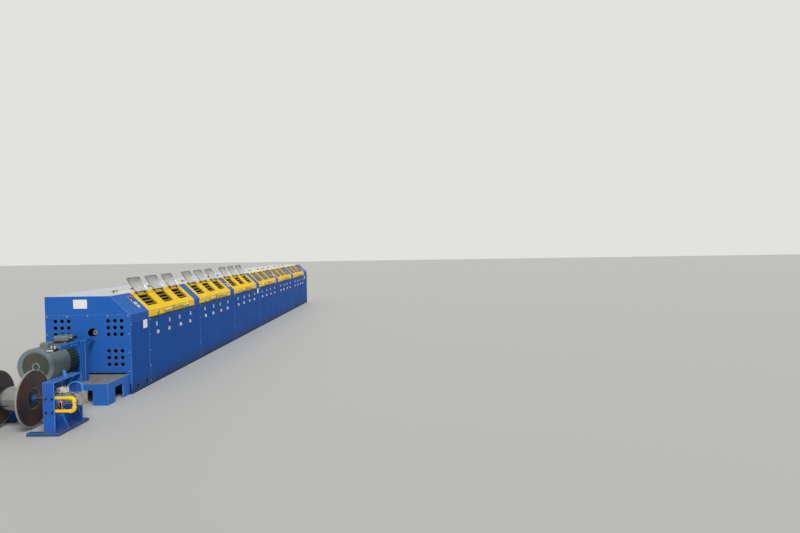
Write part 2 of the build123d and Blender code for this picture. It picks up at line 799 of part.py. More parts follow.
upright = make_upright()
shaft_bore = rod((stand_half_width - upright_width, pintle_y, pintle_height), (1, 0, 0),
                 pintle_radius + running_clearance, upright_plate)
parts["stand_upright_right"] = upright - shaft_bore
parts["stand_upright_left"] = mirror(upright, Plane.YZ)

inner_bar = stand_half_width - upright_width
foot_reach = inner_bar - floor_bar_reach
base = block((-inner_bar, inner_bar), (stand_y[1], stand_y[1] + cross_beam_depth),
             (stand_bar, stand_bar + cross_beam_height))
base -= block((-inner_bar, inner_bar),
              (stand_y[1] + cross_beam_wall, stand_y[1] + cross_beam_depth),
              around(stand_bar + cross_beam_height / 2, cross_beam_height - 2 * cross_beam_wall))
anchor_places = []
for side in (-1, 1):
    base += block(sorted((side * inner_bar, side * (stand_half_width + gusset_reach))),
                  (stand_y[0], stand_y[1] + cross_beam_depth), (0, stand_bar))
    for bar_y in (stand_y[0], stand_y[1] + cross_beam_depth - floor_bar_width):
        base += block(sorted((side * foot_reach, side * inner_bar)), (bar_y, bar_y + floor_bar_width),
                      (0, stand_bar))
        anchor_places.append((side * (foot_reach + floor_bar_width / 2), bar_y + floor_bar_width / 2))
for anchor_x, anchor_y in anchor_places:
    base -= rod((anchor_x, anchor_y, 0), (0, 0, 1), anchor_radius, stand_bar)
parts["stand_base"] = base

# Pintles, reel and winding
left_web = -inner_bar


def pintle_rod(low, high, radius):
    return rod((low, pintle_y, pintle_height), (1, 0, 0), radius, high - low)


pintle_left = pintle_rod(left_web, reel_left - seat_clear, pintle_hub_radius)
parts["pintle_left"] = pintle_left + pintle_rod(left_web, reel_left + pintle_nose, pintle_radius)
bore_end = web_face + cylinder_length - cylinder_end_wall
pintle_end = bore_end - pintle_stroke - cylinder_end_wall
pintle_right = pintle_rod(reel_right - pintle_nose, pintle_end, pintle_radius)
pintle_right += pintle_rod(reel_right + seat_clear, reel_right + pintle_hub_length,
                           pintle_hub_radius)
parts["pintle_right"] = pintle_right

reel = pintle_rod(reel_left, reel_right, reel_barrel_radius)
for low, raised in ((reel_left, reel_left - reel_rim_rise), (reel_right - reel_flange, reel_right)):
    reel += pintle_rod(low, low + reel_flange, reel_radius)
    for outer, width in ((reel_radius, reel_rim_width),
                         (reel_ring_radius + reel_ring_width / 2, reel_ring_width)):
        band = pintle_rod(raised, raised + reel_rim_rise, outer)
        reel += band - pintle_rod(raised, raised + reel_rim_rise, outer - width)
parts["reel"] = reel - pintle_rod(reel_left, reel_right, pintle_radius + running_clearance)
winding_x = (reel_left + reel_flange, reel_right - reel_flange)
winding = pintle_rod(winding_x[0], winding_x[1], wire_radius)
parts["wire_winding"] = winding - pintle_rod(winding_x[0], winding_x[1], reel_barrel_radius)

# Air cylinder that pushes the right pintle in, and the pipe guard in front of it
cylinder_end = web_face + cylinder_length
air = pintle_rod(web_face, cylinder_end, cylinder_radius)
for low in (web_face, cylinder_end - cylinder_cap_thick):
    air += block((low, low + cylinder_cap_thick), around(pintle_y, cylinder_cap),
                 around(pintle_height, cylinder_cap))
for tie_y in around(pintle_y, cylinder_cap - 2 * tie_rod_inset):
    for tie_z in around(pintle_height, cylinder_cap - 2 * tie_rod_inset):
        air += rod((web_face, tie_y, tie_z), (1, 0, 0), tie_rod_radius, cylinder_length)
air -= pintle_rod(web_face, bore_end, pintle_radius + running_clearance)
parts["air_cylinder"] = air

valve_base = pintle_height + cylinder_cap / 2
valve_step = (valve_length + valve_gap) / valve_bodies
valves = block((web_face, web_face + valve_length), around(pintle_y, valve_depth),
               (valve_base, valve_base + valve_gap))
for place in range(valve_bodies):
    low = web_face + place * valve_step
    valves += block((low, low + valve_step - valve_gap), around(pintle_y, valve_depth - valve_gap),
                    (valve_base + valve_gap, valve_base + valve_height))
parts["air_valves"] = valves

guard_y = stand_y[0] + guard_setback
guard_x = stand_half_width + guard_reach
guard_path = FilletPolyline((stand_half_width, guard_y, guard_low), (guard_x, guard_y, guard_low),
                            (guard_x, guard_y, guard_high),
                            (stand_half_width, guard_y, guard_high), radius=guard_corner)
guard_section = Plane(origin=(stand_half_width, guard_y, guard_low), z_dir=(1, 0, 0)) * Circle(
    guard_pipe_radius)
guard = sweep(guard_section, path=guard_path)
for guard_z in (guard_low, guard_high):
    guard += rod((web_face, guard_y, guard_z), (1, 0, 0), guard_pipe_radius,
                 upright_width - upright_plate)
parts["pipe_guard"] = guard

os.makedirs("parts", exist_ok=True)
for name, shape in parts.items():
    export_step(shape, f"parts/{name}.step")
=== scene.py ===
from math import cos, hypot, pi, radians, sin
from types import SimpleNamespace

import bmesh
import bpy
from mathutils import Matrix, Vector


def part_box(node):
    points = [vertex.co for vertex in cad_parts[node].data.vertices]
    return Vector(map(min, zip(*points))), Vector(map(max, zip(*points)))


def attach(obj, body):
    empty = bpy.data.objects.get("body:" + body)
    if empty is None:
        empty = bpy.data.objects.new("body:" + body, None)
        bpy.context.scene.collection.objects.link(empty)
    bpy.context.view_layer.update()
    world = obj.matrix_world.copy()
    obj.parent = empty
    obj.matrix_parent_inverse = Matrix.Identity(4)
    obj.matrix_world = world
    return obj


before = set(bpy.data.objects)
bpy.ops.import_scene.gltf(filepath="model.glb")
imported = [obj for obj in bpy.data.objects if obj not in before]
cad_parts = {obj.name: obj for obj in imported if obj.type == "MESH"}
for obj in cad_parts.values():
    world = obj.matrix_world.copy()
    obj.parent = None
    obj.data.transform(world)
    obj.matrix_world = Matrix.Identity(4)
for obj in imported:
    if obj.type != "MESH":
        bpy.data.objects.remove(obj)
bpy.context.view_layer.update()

# Camera: stands in the aisle beside the pay-off stand, at eye height, and looks along the
# machine. Its lens and angles follow the photograph's frame of 800 by 533 pixels.
CAMERA_PLACE = (3.561, -6.923, 1.597)
CAMERA_TURN = radians(1.457)
CAMERA_DIP = radians(1.942)
CAMERA_ROLL = radians(-0.87)
LENS_PIXELS = 635.5
PICTURE_WIDTH = 800
SENSOR_WIDTH = 36
SIGHT = 200

camera_data = bpy.data.cameras.new("camera")
camera_data.sensor_width = SENSOR_WIDTH
camera_data.lens = LENS_PIXELS / PICTURE_WIDTH * SENSOR_WIDTH
camera_data.clip_end = SIGHT
camera = bpy.data.objects.new("camera", camera_data)
bpy.context.scene.collection.objects.link(camera)
camera.matrix_world = (Matrix.Translation(CAMERA_PLACE) @ Matrix.Rotation(CAMERA_TURN, 4, "Z")
                       @ Matrix.Rotation(pi / 2 - CAMERA_DIP, 4, "X")
                       @ Matrix.Rotation(CAMERA_ROLL, 4, "Z"))
bpy.context.scene.camera = camera
bpy.context.scene.view_settings.view_transform = "Standard"

# Floor and light: a pale painted floor, an even pale surround, and one broad soft light from
# above the pay-off end, so the end plate is the brightest side and the aisle side is darker.
FLOOR_PAINT = "C2C2BE"
SURROUND = "E2E2DE"
SURROUND_LIGHT = 0.40
SUN_LIGHT = 2.3
SUN_WIDTH = radians(20)
SUN_FROM = (0.42, -0.72, 0.68)
FLOOR_HALF = 60


def linear(colour):
    """An sRGB hex colour as linear red, green, blue and alpha."""
    parts = [int(colour[place:place + 2], 16) / 255 for place in (0, 2, 4)]
    return [part / 12.92 if part <= 0.04045 else ((part + 0.055) / 1.055) ** 2.4
            for part in parts] + [1.0]


def set_node(node, settings, links):
    """Sets a shader node's values and links what feeds its sockets."""
    for name, value in settings.items():
        if isinstance(name, int) or name in node.inputs:
            node.inputs[name].default_value = value
        else:
            setattr(node, name, value)
    for name, source in links.items():
        node.id_data.links.new(source, node.inputs[name])


def add_node(tree, kind, settings, links):
    """Adds a shader node with its settings and links, and returns its first output in use."""
    added = tree.nodes.new("ShaderNode" + kind)
    set_node(added, settings, links)
    return next((output for output in added.outputs if output.enabled), None)


world = bpy.data.worlds.new("surround")
bpy.context.scene.world = world
world.use_nodes = True
tree = world.node_tree
tree.nodes.clear()
rays = add_node(tree, "LightPath", {}, {}).node.outputs
seen = add_node(tree, "Math", {"operation": "MAXIMUM"},
                {0: rays["Is Camera Ray"], 1: rays["Is Glossy Ray"]})
seen = add_node(tree, "Math", {"operation": "MAXIMUM"},
                {0: seen, 1: rays["Is Transmission Ray"]})
shown = add_node(tree, "Background", {"Color": linear(SURROUND)}, {})
lit = add_node(tree, "Background", {"Color": linear("FFFFFF"), "Strength": SURROUND_LIGHT}, {})
mixed = add_node(tree, "MixShader", {}, {0: seen, 1: lit, 2: shown})
add_node(tree, "OutputWorld", {}, {"Surface": mixed})

sun_data = bpy.data.lights.new("roof_light", "SUN")
sun_data.energy = SUN_LIGHT
sun_data.angle = SUN_WIDTH
sun = bpy.data.objects.new("roof_light", sun_data)
sun.rotation_euler = Vector(SUN_FROM).to_track_quat("Z", "Y").to_euler()
bpy.context.scene.collection.objects.link(sun)

floor_paint = bpy.data.materials.new("floor_paint")
floor_paint.use_nodes = True
set_node(floor_paint.node_tree.nodes["Principled BSDF"],
         {"Base Color": linear(FLOOR_PAINT), "Roughness": 0.6}, {})
mesh = bpy.data.meshes.new("floor")
mesh.from_pydata([(x * FLOOR_HALF, y * FLOOR_HALF, 0) for x, y in
                  ((-1, -1), (1, -1), (1, 1), (-1, 1))], [], [(0, 1, 2, 3)])
mesh.materials.append(floor_paint)
floor = bpy.data.objects.new("floor", mesh)
bpy.context.scene.collection.objects.link(floor)

# Housing: cold-rolled steel sheet and plate, folded and screwed, sprayed with blue semi-gloss
# enamel. The eye gets a blue with a fine orange peel, light dust, folds in a paler tint that is
# partly rubbed paint and partly painted highlight, faces towards the aisle in a darker blue as
# painted shade, and a top so flat and smooth that it mirrors the pale roof at this low angle.
BLUE = "2964B7"
AISLE_SHADE_BLUE = "1D56A8"
BLUE_DUST = "56759C"
BLUE_WORN_LIT_EDGE = "84B4F0"
BLUE_LOW = "2F4364"
# Real orange peel is 1 to 2 mm wide. It is drawn coarser, so that it shows.
PEEL_SIZE = 0.0035
DUST_PATCH = 0.45
FOLD_ROUND = 0.006
ENAMEL_SHINE = 0.06
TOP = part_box("end_hoods")[1].z
UP = (0, 0, 1)


def new_look(name, colour, settings):
    """A Principled material, with its node tree, its shader, and each point's place and facing."""
    material = bpy.data.materials.new(name)
    material.use_nodes = True
    tree = material.node_tree
    skin = tree.nodes["Principled BSDF"]
    set_node(skin, {"Base Color": linear(colour), **settings}, {})
    place = add_node(tree, "TexCoord", {}, {}).node.outputs
    return SimpleNamespace(material=material, tree=tree, skin=skin, spot=place["Object"],
                           facing=place["Normal"])


def layer(look, share, colour):
    """Lays a colour over those that a look has so far, as far as the share goes."""
    base = look.skin.inputs["Base Color"]
    under = {6: link.from_socket for link in base.links}
    mixed = add_node(look.tree, "Mix", {"data_type": "RGBA", 6: base.default_value,
                                        7: linear(colour)}, {0: share, **under})
    look.tree.links.new(mixed, base)


def where_all(whole, *shares):
    """The share of a surface where several shares meet."""
    for share in shares:
        whole = add_node(whole.id_data, "Math", {"operation": "MULTIPLY"}, {0: whole, 1: share})
    return whole


def ramp(vector, direction, start, end, foot=(0, 0, 0)):
    """A share that goes from 0 to 1 as a vector goes from start to end, off a foot point."""
    tree = vector.id_data
    level = Vector(direction).dot(Vector(foot))
    along = add_node(tree, "VectorMath", {"operation": "DOT_PRODUCT", 1: direction}, {0: vector})
    return add_node(tree, "MapRange", {"From Min": level + start, "From Max": level + end},
                    {"Value": along})


def on_top(look, height, start, end):
    """The share on level faces at a height: their facing up is start at 0 and end at 1."""
    return where_all(ramp(look.facing, UP, start, end),
                     ramp(look.spot, UP, height - 0.003, height - 0.001))


def outer_edges(look, width):
    """A share that rises to 1 along a piece's outer edges, and the normal that rounds them."""
    rounded = add_node(look.tree, "Bevel", {"samples": 4, "Radius": width}, {})
    flat = add_node(look.tree, "NewGeometry", {}, {}).node.outputs["Normal"]
    same = add_node(look.tree, "VectorMath", {"operation": "DOT_PRODUCT"}, {0: rounded, 1: flat})
    edge = add_node(look.tree, "MapRange", {"From Min": 0.995, "From Max": 0.93}, {"Value": same})
    return edge, rounded


def finish(look, value, turn, gloss, relief, strength, depth, normal=None):
    """Sets the roughness from gloss[0] to gloss[1] over a value's turn, and bumps a relief."""
    rough = add_node(look.tree, "MapRange", {"From Min": turn[0], "From Max": turn[1],
                                             "To Min": gloss[0], "To Max": gloss[1]},
                     {"Value": value})
    bump = add_node(look.tree, "Bump", {"Strength": strength, "Distance": depth},
                    {"Height": relief, **({"Normal": normal} if normal else {})})
    set_node(look.skin, {}, {"Roughness": rough, "Normal": bump})


def sprayed_enamel(name, colour, dust, worn_lit_edge, roughness, dust_share):
    """Sprayed enamel on steel sheet: orange peel, dust in patches, and edges in a paler tint that is
    partly rubbed paint and partly painted highlight.
    """
    look = new_look(name, colour, {"Specular IOR Level": ENAMEL_SHINE})
    tree = look.tree
    patches = add_node(tree, "TexNoise", {"Scale": 1 / DUST_PATCH, "Detail": 8, "Roughness": 0.65},
                       {"Vector": look.spot})
    dusty = add_node(tree, "MapRange", {"From Min": 0.45, "From Max": 0.8, "To Max": dust_share},
                     {"Value": patches})
    layer(look, dusty, dust)
    edge, rounded = outer_edges(look, FOLD_ROUND)
    patchy = add_node(tree, "MapRange", {"From Min": 0.3, "From Max": 0.6, "To Min": 0.55},
                      {"Value": patches})
    # Edges in a paler tint: partly rubbed paint, partly a painted highlight along the folds.
    layer(look, where_all(edge, patchy), worn_lit_edge)
    peel = add_node(tree, "TexNoise", {"Scale": 1 / PEEL_SIZE, "Detail": 1}, {"Vector": look.spot})
    finish(look, patches, (0.3, 0.7), (roughness - 0.05, roughness + 0.12), peel, 0.06, 0.0005,
           rounded)
    return look


def polish_top(look):
    """Gives the level top a wiped, clear gloss that mirrors the roof."""
    set_node(look.skin, {"Coat Roughness": 0.07}, {"Coat Weight": on_top(look, TOP, 0.97, 0.99)})


def darken_low(look, colour, high, low=0.0):
    """Makes a look darker towards the floor, fading out at a height."""
    lowness = ramp(look.spot, UP, high, low)
    layer(look, where_all(lowness, lowness), colour)


def dress(look, *nodes):
    """Puts a look on CAD nodes."""
    for node in nodes:
        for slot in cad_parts[node].material_slots:
            slot.material = look.material


look = sprayed_enamel("blue_enamel", BLUE, BLUE_DUST, BLUE_WORN_LIT_EDGE, 0.40, 0.10)
polish_top(look)
# Faces towards the aisle are painted a darker blue: painted shade.
layer(look, ramp(look.facing, (1, 0, 0), 0.90, 0.95), AISLE_SHADE_BLUE)
darken_low(look, BLUE_LOW, 0.30)
dress(look, "corner_posts", "near_end_panel", "near_end_head_plate", "far_end_panel", "top_cover",
      "end_hoods", "gap_strips")

# Side panels and base frame: the same enamel, duller, and painted a darker blue as painted shade.
# Scuffs from trolleys and reels run along the lower half in dark streaks.
SCUFF_WIDTH = 0.0333
SCUFF_STRETCH = (1, 0.12, 1)
SCUFF_LEVELS = (0.62, 0.30)

shaded_side_enamel = look = sprayed_enamel("shaded_side_enamel", "194E9C", "2F5590", BLUE_WORN_LIT_EDGE, 0.50, 0.25)
set_node(look.skin, {"Specular IOR Level": 0.04}, {})
streaks = add_node(look.tree, "Mapping", {"Scale": SCUFF_STRETCH}, {"Vector": look.spot})
scuffs = add_node(look.tree, "TexNoise", {"Scale": 1 / SCUFF_WIDTH, "Detail": 6},
                  {"Vector": streaks})
scuffed = add_node(look.tree, "MapRange", {"From Min": 0.60, "From Max": 0.74, "To Max": 0.5},
                   {"Value": scuffs})
layer(look, where_all(scuffed, ramp(look.spot, UP, *SCUFF_LEVELS)), "2B3B58")
darken_low(look, "2C3A52", 0.22)
dress(look, "front_panels", "back_panels", "base_rails", "base_beams", "fork_pockets")

# Bulkheads: flame-cut steel plates with turned bearing rings, welded to the base beams. They are
# seen only through the vents and slots, and are painted near black as painted shade for the dark
# inside of the housing.
look = sprayed_enamel("painted_shade_near_black", "2B2A2C", "3A3835", "4A4845", 0.6, 0.3)
dress(look, "bulkheads")

# Screws of the end plates and side panels: zinc-plated button heads with washers, in lines
# beside each joint. They catch the light as pale dots.
HEAD = ((0.0, 0.0075), (0.0012, 0.0075), (0.0013, 0.0058), (0.003, 0.0056), (0.0046, 0.0034),
        (0.0048, 0.0022), (0.0030, 0.0020), (0.0030, 0.0))
END_SCREW_X = (-0.505, -0.280, -0.055, 0.170, 0.398)
END_SCREW_Z = (0.665, 0.463, 0.257)
SIDE_SCREW_Z = (0.766, 0.590, 0.408, 0.225, 0.045)
SCREW_INSET = 0.020
POST_SCREW_INSET = 0.024
TARNISH_GRAINS = 8.33
BRIGHT_EDGE = 0.0012
END_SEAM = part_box("near_end_panel")[1].z
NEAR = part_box("near_end_panel")[0].y
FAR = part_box("far_end_panel")[1].y
DOOR_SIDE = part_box("front_panels")[1].x
BACK_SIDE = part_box("back_panels")[0].x
doors = [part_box(f"door_bay_{bay}") for bay in range(1, 7)]
starts = [low.y for low, high in doors]
DOOR_LENGTH = doors[0][1].y - starts[0]
BAY_PITCH = starts[1] - starts[0]
strip_middles = [start + (DOOR_LENGTH + BAY_PITCH) / 2 for start in starts]


def bridge(shape, low, high, slot=0):
    """Adds the faces between two rings of corners, either of which may be a single point."""
    steps = max(len(low), len(high))
    for step in range(steps):
        after = (step + 1) % steps
        corners = (low[step % len(low)], low[after % len(low)],
                   high[after % len(high)], high[step % len(high)])
        shape.faces.new(list(dict.fromkeys(corners))).material_index = slot


def turned(shape, start, axis, profile, slot=0, steps=24):
    """Adds a turned form: the profile's points are (distance along the axis, radius)."""
    turn = Vector(axis).to_track_quat("Z", "X").to_matrix()
    rings = []
    for along, radius in profile:
        angles = [2 * pi * step / steps for step in range(steps if radius > 0 else 1)]
        rings.append([shape.verts.new(Vector(start) + turn @ Vector(
            (radius * cos(angle), radius * sin(angle), along))) for angle in angles])
    for low, high in zip(rings, rings[1:]):
        bridge(shape, low, high, slot)


def screw(shape, start, axis, slot=0):
    """Adds a screw's head with its washer."""
    turned(shape, start, axis, HEAD, slot, steps=12)


def place_piece(name, body, shape, *looks, sharp=35):
    """Turns a finished shape into a piece that rides on a body."""
    bmesh.ops.recalc_face_normals(shape, faces=shape.faces)
    mesh = bpy.data.meshes.new(name)
    shape.to_mesh(mesh)
    shape.free()
    for look in looks:
        mesh.materials.append(look.material)
    mesh.shade_smooth()
    mesh.set_sharp_from_angle(angle=radians(sharp))
    piece = bpy.data.objects.new(name, mesh)
    bpy.context.scene.collection.objects.link(piece)
    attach(piece, body)


def metal(name, colour, dull, roughness, grain, stretch=(1, 1, 1), metallic=1.0):
    """Bare or plated metal: cloudy tarnish, fine grain or tool marks, and bright edges."""
    look = new_look(name, colour, {"Metallic": metallic, "Specular IOR Level": 0.25})
    tree = look.tree
    streaks = add_node(tree, "Mapping", {"Scale": stretch}, {"Vector": look.spot})
    marks = add_node(tree, "TexNoise", {"Scale": 1 / grain, "Detail": 4}, {"Vector": streaks})
    clouds = add_node(tree, "TexNoise", {"Scale": 1 / (TARNISH_GRAINS * grain), "Detail": 6},
                      {"Vector": look.spot})
    cloudy = add_node(tree, "MapRange", {"From Min": 0.42, "From Max": 0.68}, {"Value": clouds})
    layer(look, cloudy, dull)
    edge, rounded = outer_edges(look, BRIGHT_EDGE)
    layer(look, where_all(edge, cloudy), colour)
    finish(look, clouds, (0.35, 0.7), (roughness - 0.06, roughness + 0.14), marks, 0.15, grain / 8,
           rounded)
    return look


zinc_plating = metal("zinc_plating", "C4C6C8", "85888A", 0.36, 0.004)
screws = bmesh.new()
for x in END_SCREW_X:
    screw(screws, (x, NEAR, END_SEAM - SCREW_INSET), (0, -1, 0))
for x in (END_SCREW_X[0], END_SCREW_X[-1]):
    for z in END_SCREW_Z:
        screw(screws, (x, NEAR, z), (0, -1, 0))
        screw(screws, (x, FAR, z), (0, 1, 0))
for y in (NEAR + POST_SCREW_INSET,
          *(start + SCREW_INSET for start in (*starts, starts[-1] + DOOR_LENGTH))):
    for z in SIDE_SCREW_Z:
        # On the door side, the near post has only its top screw.
        if y > starts[0] or z == SIDE_SCREW_Z[0]:
            screw(screws, (DOOR_SIDE, y, z), (1, 0, 0))
        screw(screws, (BACK_SIDE, y, z), (-1, 0, 0))
place_piece("panel_screws", "housing", screws, zinc_plating)

# Cover strips under the door lips: strips of the side's enamelled sheet with rounded corners, one
# screw at each end. A black rubber seal lies between each strip and the door's lip; its matt dark
# line under the bright yellow is painted shade for the shadow in the seam.
LIP_STRIP = (0.740, 0.783)
LIP_STRIP_INSET = 0.012
LIP_STRIP_THICK = 0.003
LIP_STRIP_CORNER = (LIP_STRIP[1] - LIP_STRIP[0]) / 2.1
STRIP_SCREW_INSET = 0.016
DOOR_SEAL = (0.784, 0.7945)
DOOR_SEAL_THICK = 0.007
DOOR_SEAL_CORNER = 0.003
SOFT_EDGE = 0.002
RUBBER_SCUFF = 0.00833
PLASTIC_EDGE = 0.0008


def rounded_outline(width, height, corner, steps=6):
    """The outline of a rounded rectangle about the origin, counter-clockwise."""
    points = []
    for turn, (x, y) in enumerate(((1, 1), (-1, 1), (-1, -1), (1, -1))):
        centre = (x * (width / 2 - corner), y * (height / 2 - corner))
        for step in range(steps + 1):
            angle = pi / 2 * (turn + step / steps)
            points.append((centre[0] + corner * cos(angle), centre[1] + corner * sin(angle)))
    return points


def plate(shape, matrix, outline, thick, slot=0, edge=0.0):
    """Adds a flat plate: an outline in the matrix's XY plane, thick along its Z."""
    shrink = 1 - edge / max(hypot(x, y) for x, y in outline)
    rings = [[shape.verts.new(matrix @ Vector((x * share, y * share, level))) for x, y in outline]
             for share, level in ((1, 0), (1, thick - edge), (shrink, thick))[:3 if edge else 2]]
    for low, high in zip(rings, rings[1:]):
        bridge(shape, low, high, slot)
    for cap in (rings[0][::-1], rings[-1]):
        shape.faces.new(cap).material_index = slot


def facing_aisle(y, z, x=DOOR_SIDE):
    """Axes on the door side: first along the machine, then up, then out to the aisle."""
    return Matrix(((0, 0, 1, x), (1, 0, 0, y), (0, 1, 0, z), (0, 0, 0, 1)))


def moulded_plastic(name, colour, worn, roughness):
    """Moulded plastic or rubber: even colour, light scuffs and a soft sheen."""
    look = new_look(name, colour, {})
    tree = look.tree
    scuffs = add_node(tree, "TexNoise", {"Scale": 1 / RUBBER_SCUFF, "Detail": 5},
                      {"Vector": look.spot})
    scuffed = add_node(tree, "MapRange", {"From Min": 0.5, "From Max": 0.75, "To Max": 0.6},
                       {"Value": scuffs})
    layer(look, scuffed, worn)
    edge, rounded = outer_edges(look, PLASTIC_EDGE)
    layer(look, where_all(edge, scuffs), worn)
    finish(look, scuffs, (0, 1), (roughness - 0.05, roughness + 0.15), scuffs, 0.08, 0.0004, rounded)
    return look


rubber = moulded_plastic("black_rubber", "262726", "3E3F3C", 0.62)
strips, shade_seals, strip_screws = bmesh.new(), bmesh.new(), bmesh.new()
strip_length = DOOR_LENGTH - 2 * LIP_STRIP_INSET
for start in starts:
    middle = start + DOOR_LENGTH / 2
    plate(strips, facing_aisle(middle, sum(LIP_STRIP) / 2), rounded_outline(
        strip_length, LIP_STRIP[1] - LIP_STRIP[0], LIP_STRIP_CORNER), LIP_STRIP_THICK)
    plate(shade_seals, facing_aisle(middle, sum(DOOR_SEAL) / 2), rounded_outline(
        strip_length, DOOR_SEAL[1] - DOOR_SEAL[0], DOOR_SEAL_CORNER), DOOR_SEAL_THICK,
        edge=SOFT_EDGE)
    for side in (-1, 1):
        y = middle + side * (strip_length / 2 - STRIP_SCREW_INSET)
        screw(strip_screws, (DOOR_SIDE + LIP_STRIP_THICK, y, LIP_STRIP[1] - STRIP_SCREW_INSET),
              (1, 0, 0))
place_piece("lip_strips", "housing", strips, shaded_side_enamel)
place_piece("lip_strip_screws", "housing", strip_screws, zinc_plating)
place_piece("door_shade_seals", "housing", shade_seals, rubber)

# Bare plates: aluminium in white stove enamel, left bare, which show as clean pale squares.
# One is on the head plate and three are on the door side, at the near section, the middle
# strip and the far section.
END_LABEL_PLACE = (-0.130, 1.000)
END_LABEL = (0.154, 0.100, 0.006)
SIDE_LABEL = (0.108, 0.097, 0.004)
SIDE_LABEL_INSET = 0.379
SIDE_LABEL_Z = 0.732
LABEL_THICK = 0.0015
LABEL_EDGE = 0.0006

white_plate = sprayed_enamel("white_plate", "EEF0EE", "C9CCCB", "FFFFFF", 0.35, 0.5)
labels = bmesh.new()
on_head_plate = Matrix(((1, 0, 0, END_LABEL_PLACE[0]), (0, 0, -1, NEAR),
                        (0, 1, 0, END_LABEL_PLACE[1]), (0, 0, 0, 1)))
plate(labels, on_head_plate, rounded_outline(*END_LABEL), LABEL_THICK, edge=LABEL_EDGE)
for y in (NEAR + SIDE_LABEL_INSET, strip_middles[2], FAR - SIDE_LABEL_INSET):
    plate(labels, facing_aisle(y, SIDE_LABEL_Z), rounded_outline(*SIDE_LABEL), LABEL_THICK,
          edge=LABEL_EDGE)
place_piece("bare_labels", "housing", labels, white_plate)

# Latch tabs, square plates and pulls of the door-side panels: zinc-plated pressings, fixed
# through the sheet. Hands have left tan stains, so they look cream rather than bright.
PULL = (0.036, 0.034, 0.004)
PULL_THICK = 0.012
SQUARE_SHARES = (0.136, 0.335, 0.561, 0.760)
SQUARE_LEVEL = 0.593
SQUARE_DEPTH = 0.003

stained_plating = metal("stained_plating", "F0EEE8", "B8A98A", 0.34, 0.006, metallic=0.45)
dress(stained_plating, "panel_latches")
pulls = bmesh.new()
for start in starts:
    for share in SQUARE_SHARES:
        plate(pulls, facing_aisle(start + share * BAY_PITCH, SQUARE_LEVEL,
                                  DOOR_SIDE + SQUARE_DEPTH), rounded_outline(*PULL), PULL_THICK,
              edge=SOFT_EDGE)
place_piece("latch_paddles", "housing", pulls, stained_plating)

# Push buttons: four rows, each on a thin anodised plate let onto the slope. A row has a red
# mushroom button and black, white and cream caps, glossy moulded plastic in chromed bezels.
SHOULDER = 0.876
SLOPE_TOP = Vector((0.205, 0, TOP))
BUTTON_RUN = 0.078
BUTTON_PITCH = 0.046
BUTTON_SETBACK = 0.345
BEZEL = ((0.003, 0.019), (0.006, 0.0185), (0.007, 0.016), (0.007, 0.0142))
MUSHROOM_EXTRA = 0.003
CAP = ((0.003, 0.0145), (0.0155, 0.0145), (0.0172, 0.0125), (0.0176, 0.0))
MUSHROOM = ((0.003, 0.0205), (0.0245, 0.0206), (0.0268, 0.0185), (0.0283, 0.012), (0.0288, 0.0))
down = (Vector((DOOR_SIDE, 0, SHOULDER)) - SLOPE_TOP).normalized()
out = Vector((-down.z, 0, down.x))


def on_slope(y):
    """Axes on the slope: first down it, then along the machine, then out of it."""
    return Matrix(((down.x, 0, out.x, SLOPE_TOP.x), (0, 1, 0, y), (down.z, 0, out.z, SLOPE_TOP.z),
                   (0, 0, 0, 1)))


dress(metal("anodised_plate", "DAD8D0", "B4B2A8", 0.38, 0.004), "control_buttons")
red_plastic = moulded_plastic("red_plastic", "B4261E", "8C2A22", 0.30)
black_plastic = moulded_plastic("black_plastic", "1B1B1D", "3A3A3C", 0.35)
white_plastic = moulded_plastic("white_plastic", "E4E3DC", "BDBBB0", 0.35)
cream_plastic = moulded_plastic("cream_plastic", "E8D9B8", "C4AF86", 0.35)
chrome = metal("chrome_plating", "E6E8EA", "B4B8BC", 0.16, 0.004)
rows = bmesh.new()
for y in (NEAR + BUTTON_SETBACK, strip_middles[1], strip_middles[3], FAR - BUTTON_SETBACK):
    for step, (cap, extra) in enumerate(((MUSHROOM, MUSHROOM_EXTRA), (CAP, 0), (CAP, 0), (CAP, 0))):
        foot = on_slope(y) @ Vector((BUTTON_RUN + step * BUTTON_PITCH, 0, 0))
        turned(rows, foot, out, cap, slot=step)
        turned(rows, foot, out, [(along, radius + extra) for along, radius in BEZEL], slot=4)
place_piece("button_caps", "housing", rows, red_plastic, black_plastic, white_plastic,
            cream_plastic, chrome)

# Doors: the same sheet in yellow enamel. The window trays' bars and walls go from yellow at the rim
# to olive brown at the bottom: painted shade in the recess, in patches of grime. Lid ears and pins
# are dark steel.
YELLOW_DUST = "D3A52C"
GRIME_PATCH = 0.04
# Zones of the slope, as slope_zone reads them: down it, and out of it.
TRAY = ((0.050, 0.052), (0.252, 0.246), (-0.004, -0.022))
HINGE_BAND = ((0.028, 0.034), (0.056, 0.050), (-0.004, -0.002))
EARS = ((0.012, 0.014), (0.060, 0.055), (0.001, 0.002))


def slope_zone(look, begin, end, level):
    """The share in a zone of the slope; each limit is (where it is 0, where it is 1)."""
    return where_all(ramp(look.spot, down, *begin, SLOPE_TOP),
                     ramp(look.spot, down, *end, SLOPE_TOP),
                     ramp(look.spot, out, *level, SLOPE_TOP))


look = sprayed_enamel("yellow_enamel", "F7CB0A", YELLOW_DUST, "FFEB7A", 0.38, 0.22)
polish_top(look)
grime = add_node(look.tree, "TexNoise", {"Scale": 1 / GRIME_PATCH, "Detail": 6},
                 {"Vector": look.spot})
tray_shade_and_grime = add_node(look.tree, "MapRange", {"From Min": 0.3, "From Max": 0.65, "To Min": 0.8},
                       {"Value": grime})
# Painted shade in the window trays, darker with depth, in patches of grime.
layer(look, where_all(slope_zone(look, *TRAY), tray_shade_and_grime), "77683C")
# A darker yellow band between the finger notches and the tray.
layer(look, where_all(slope_zone(look, *HINGE_BAND), grime), "C0942E")
layer(look, slope_zone(look, *EARS), "2A2B2B")
dress(look, *[f"door_bay_{bay}" for bay in range(1, 7)])

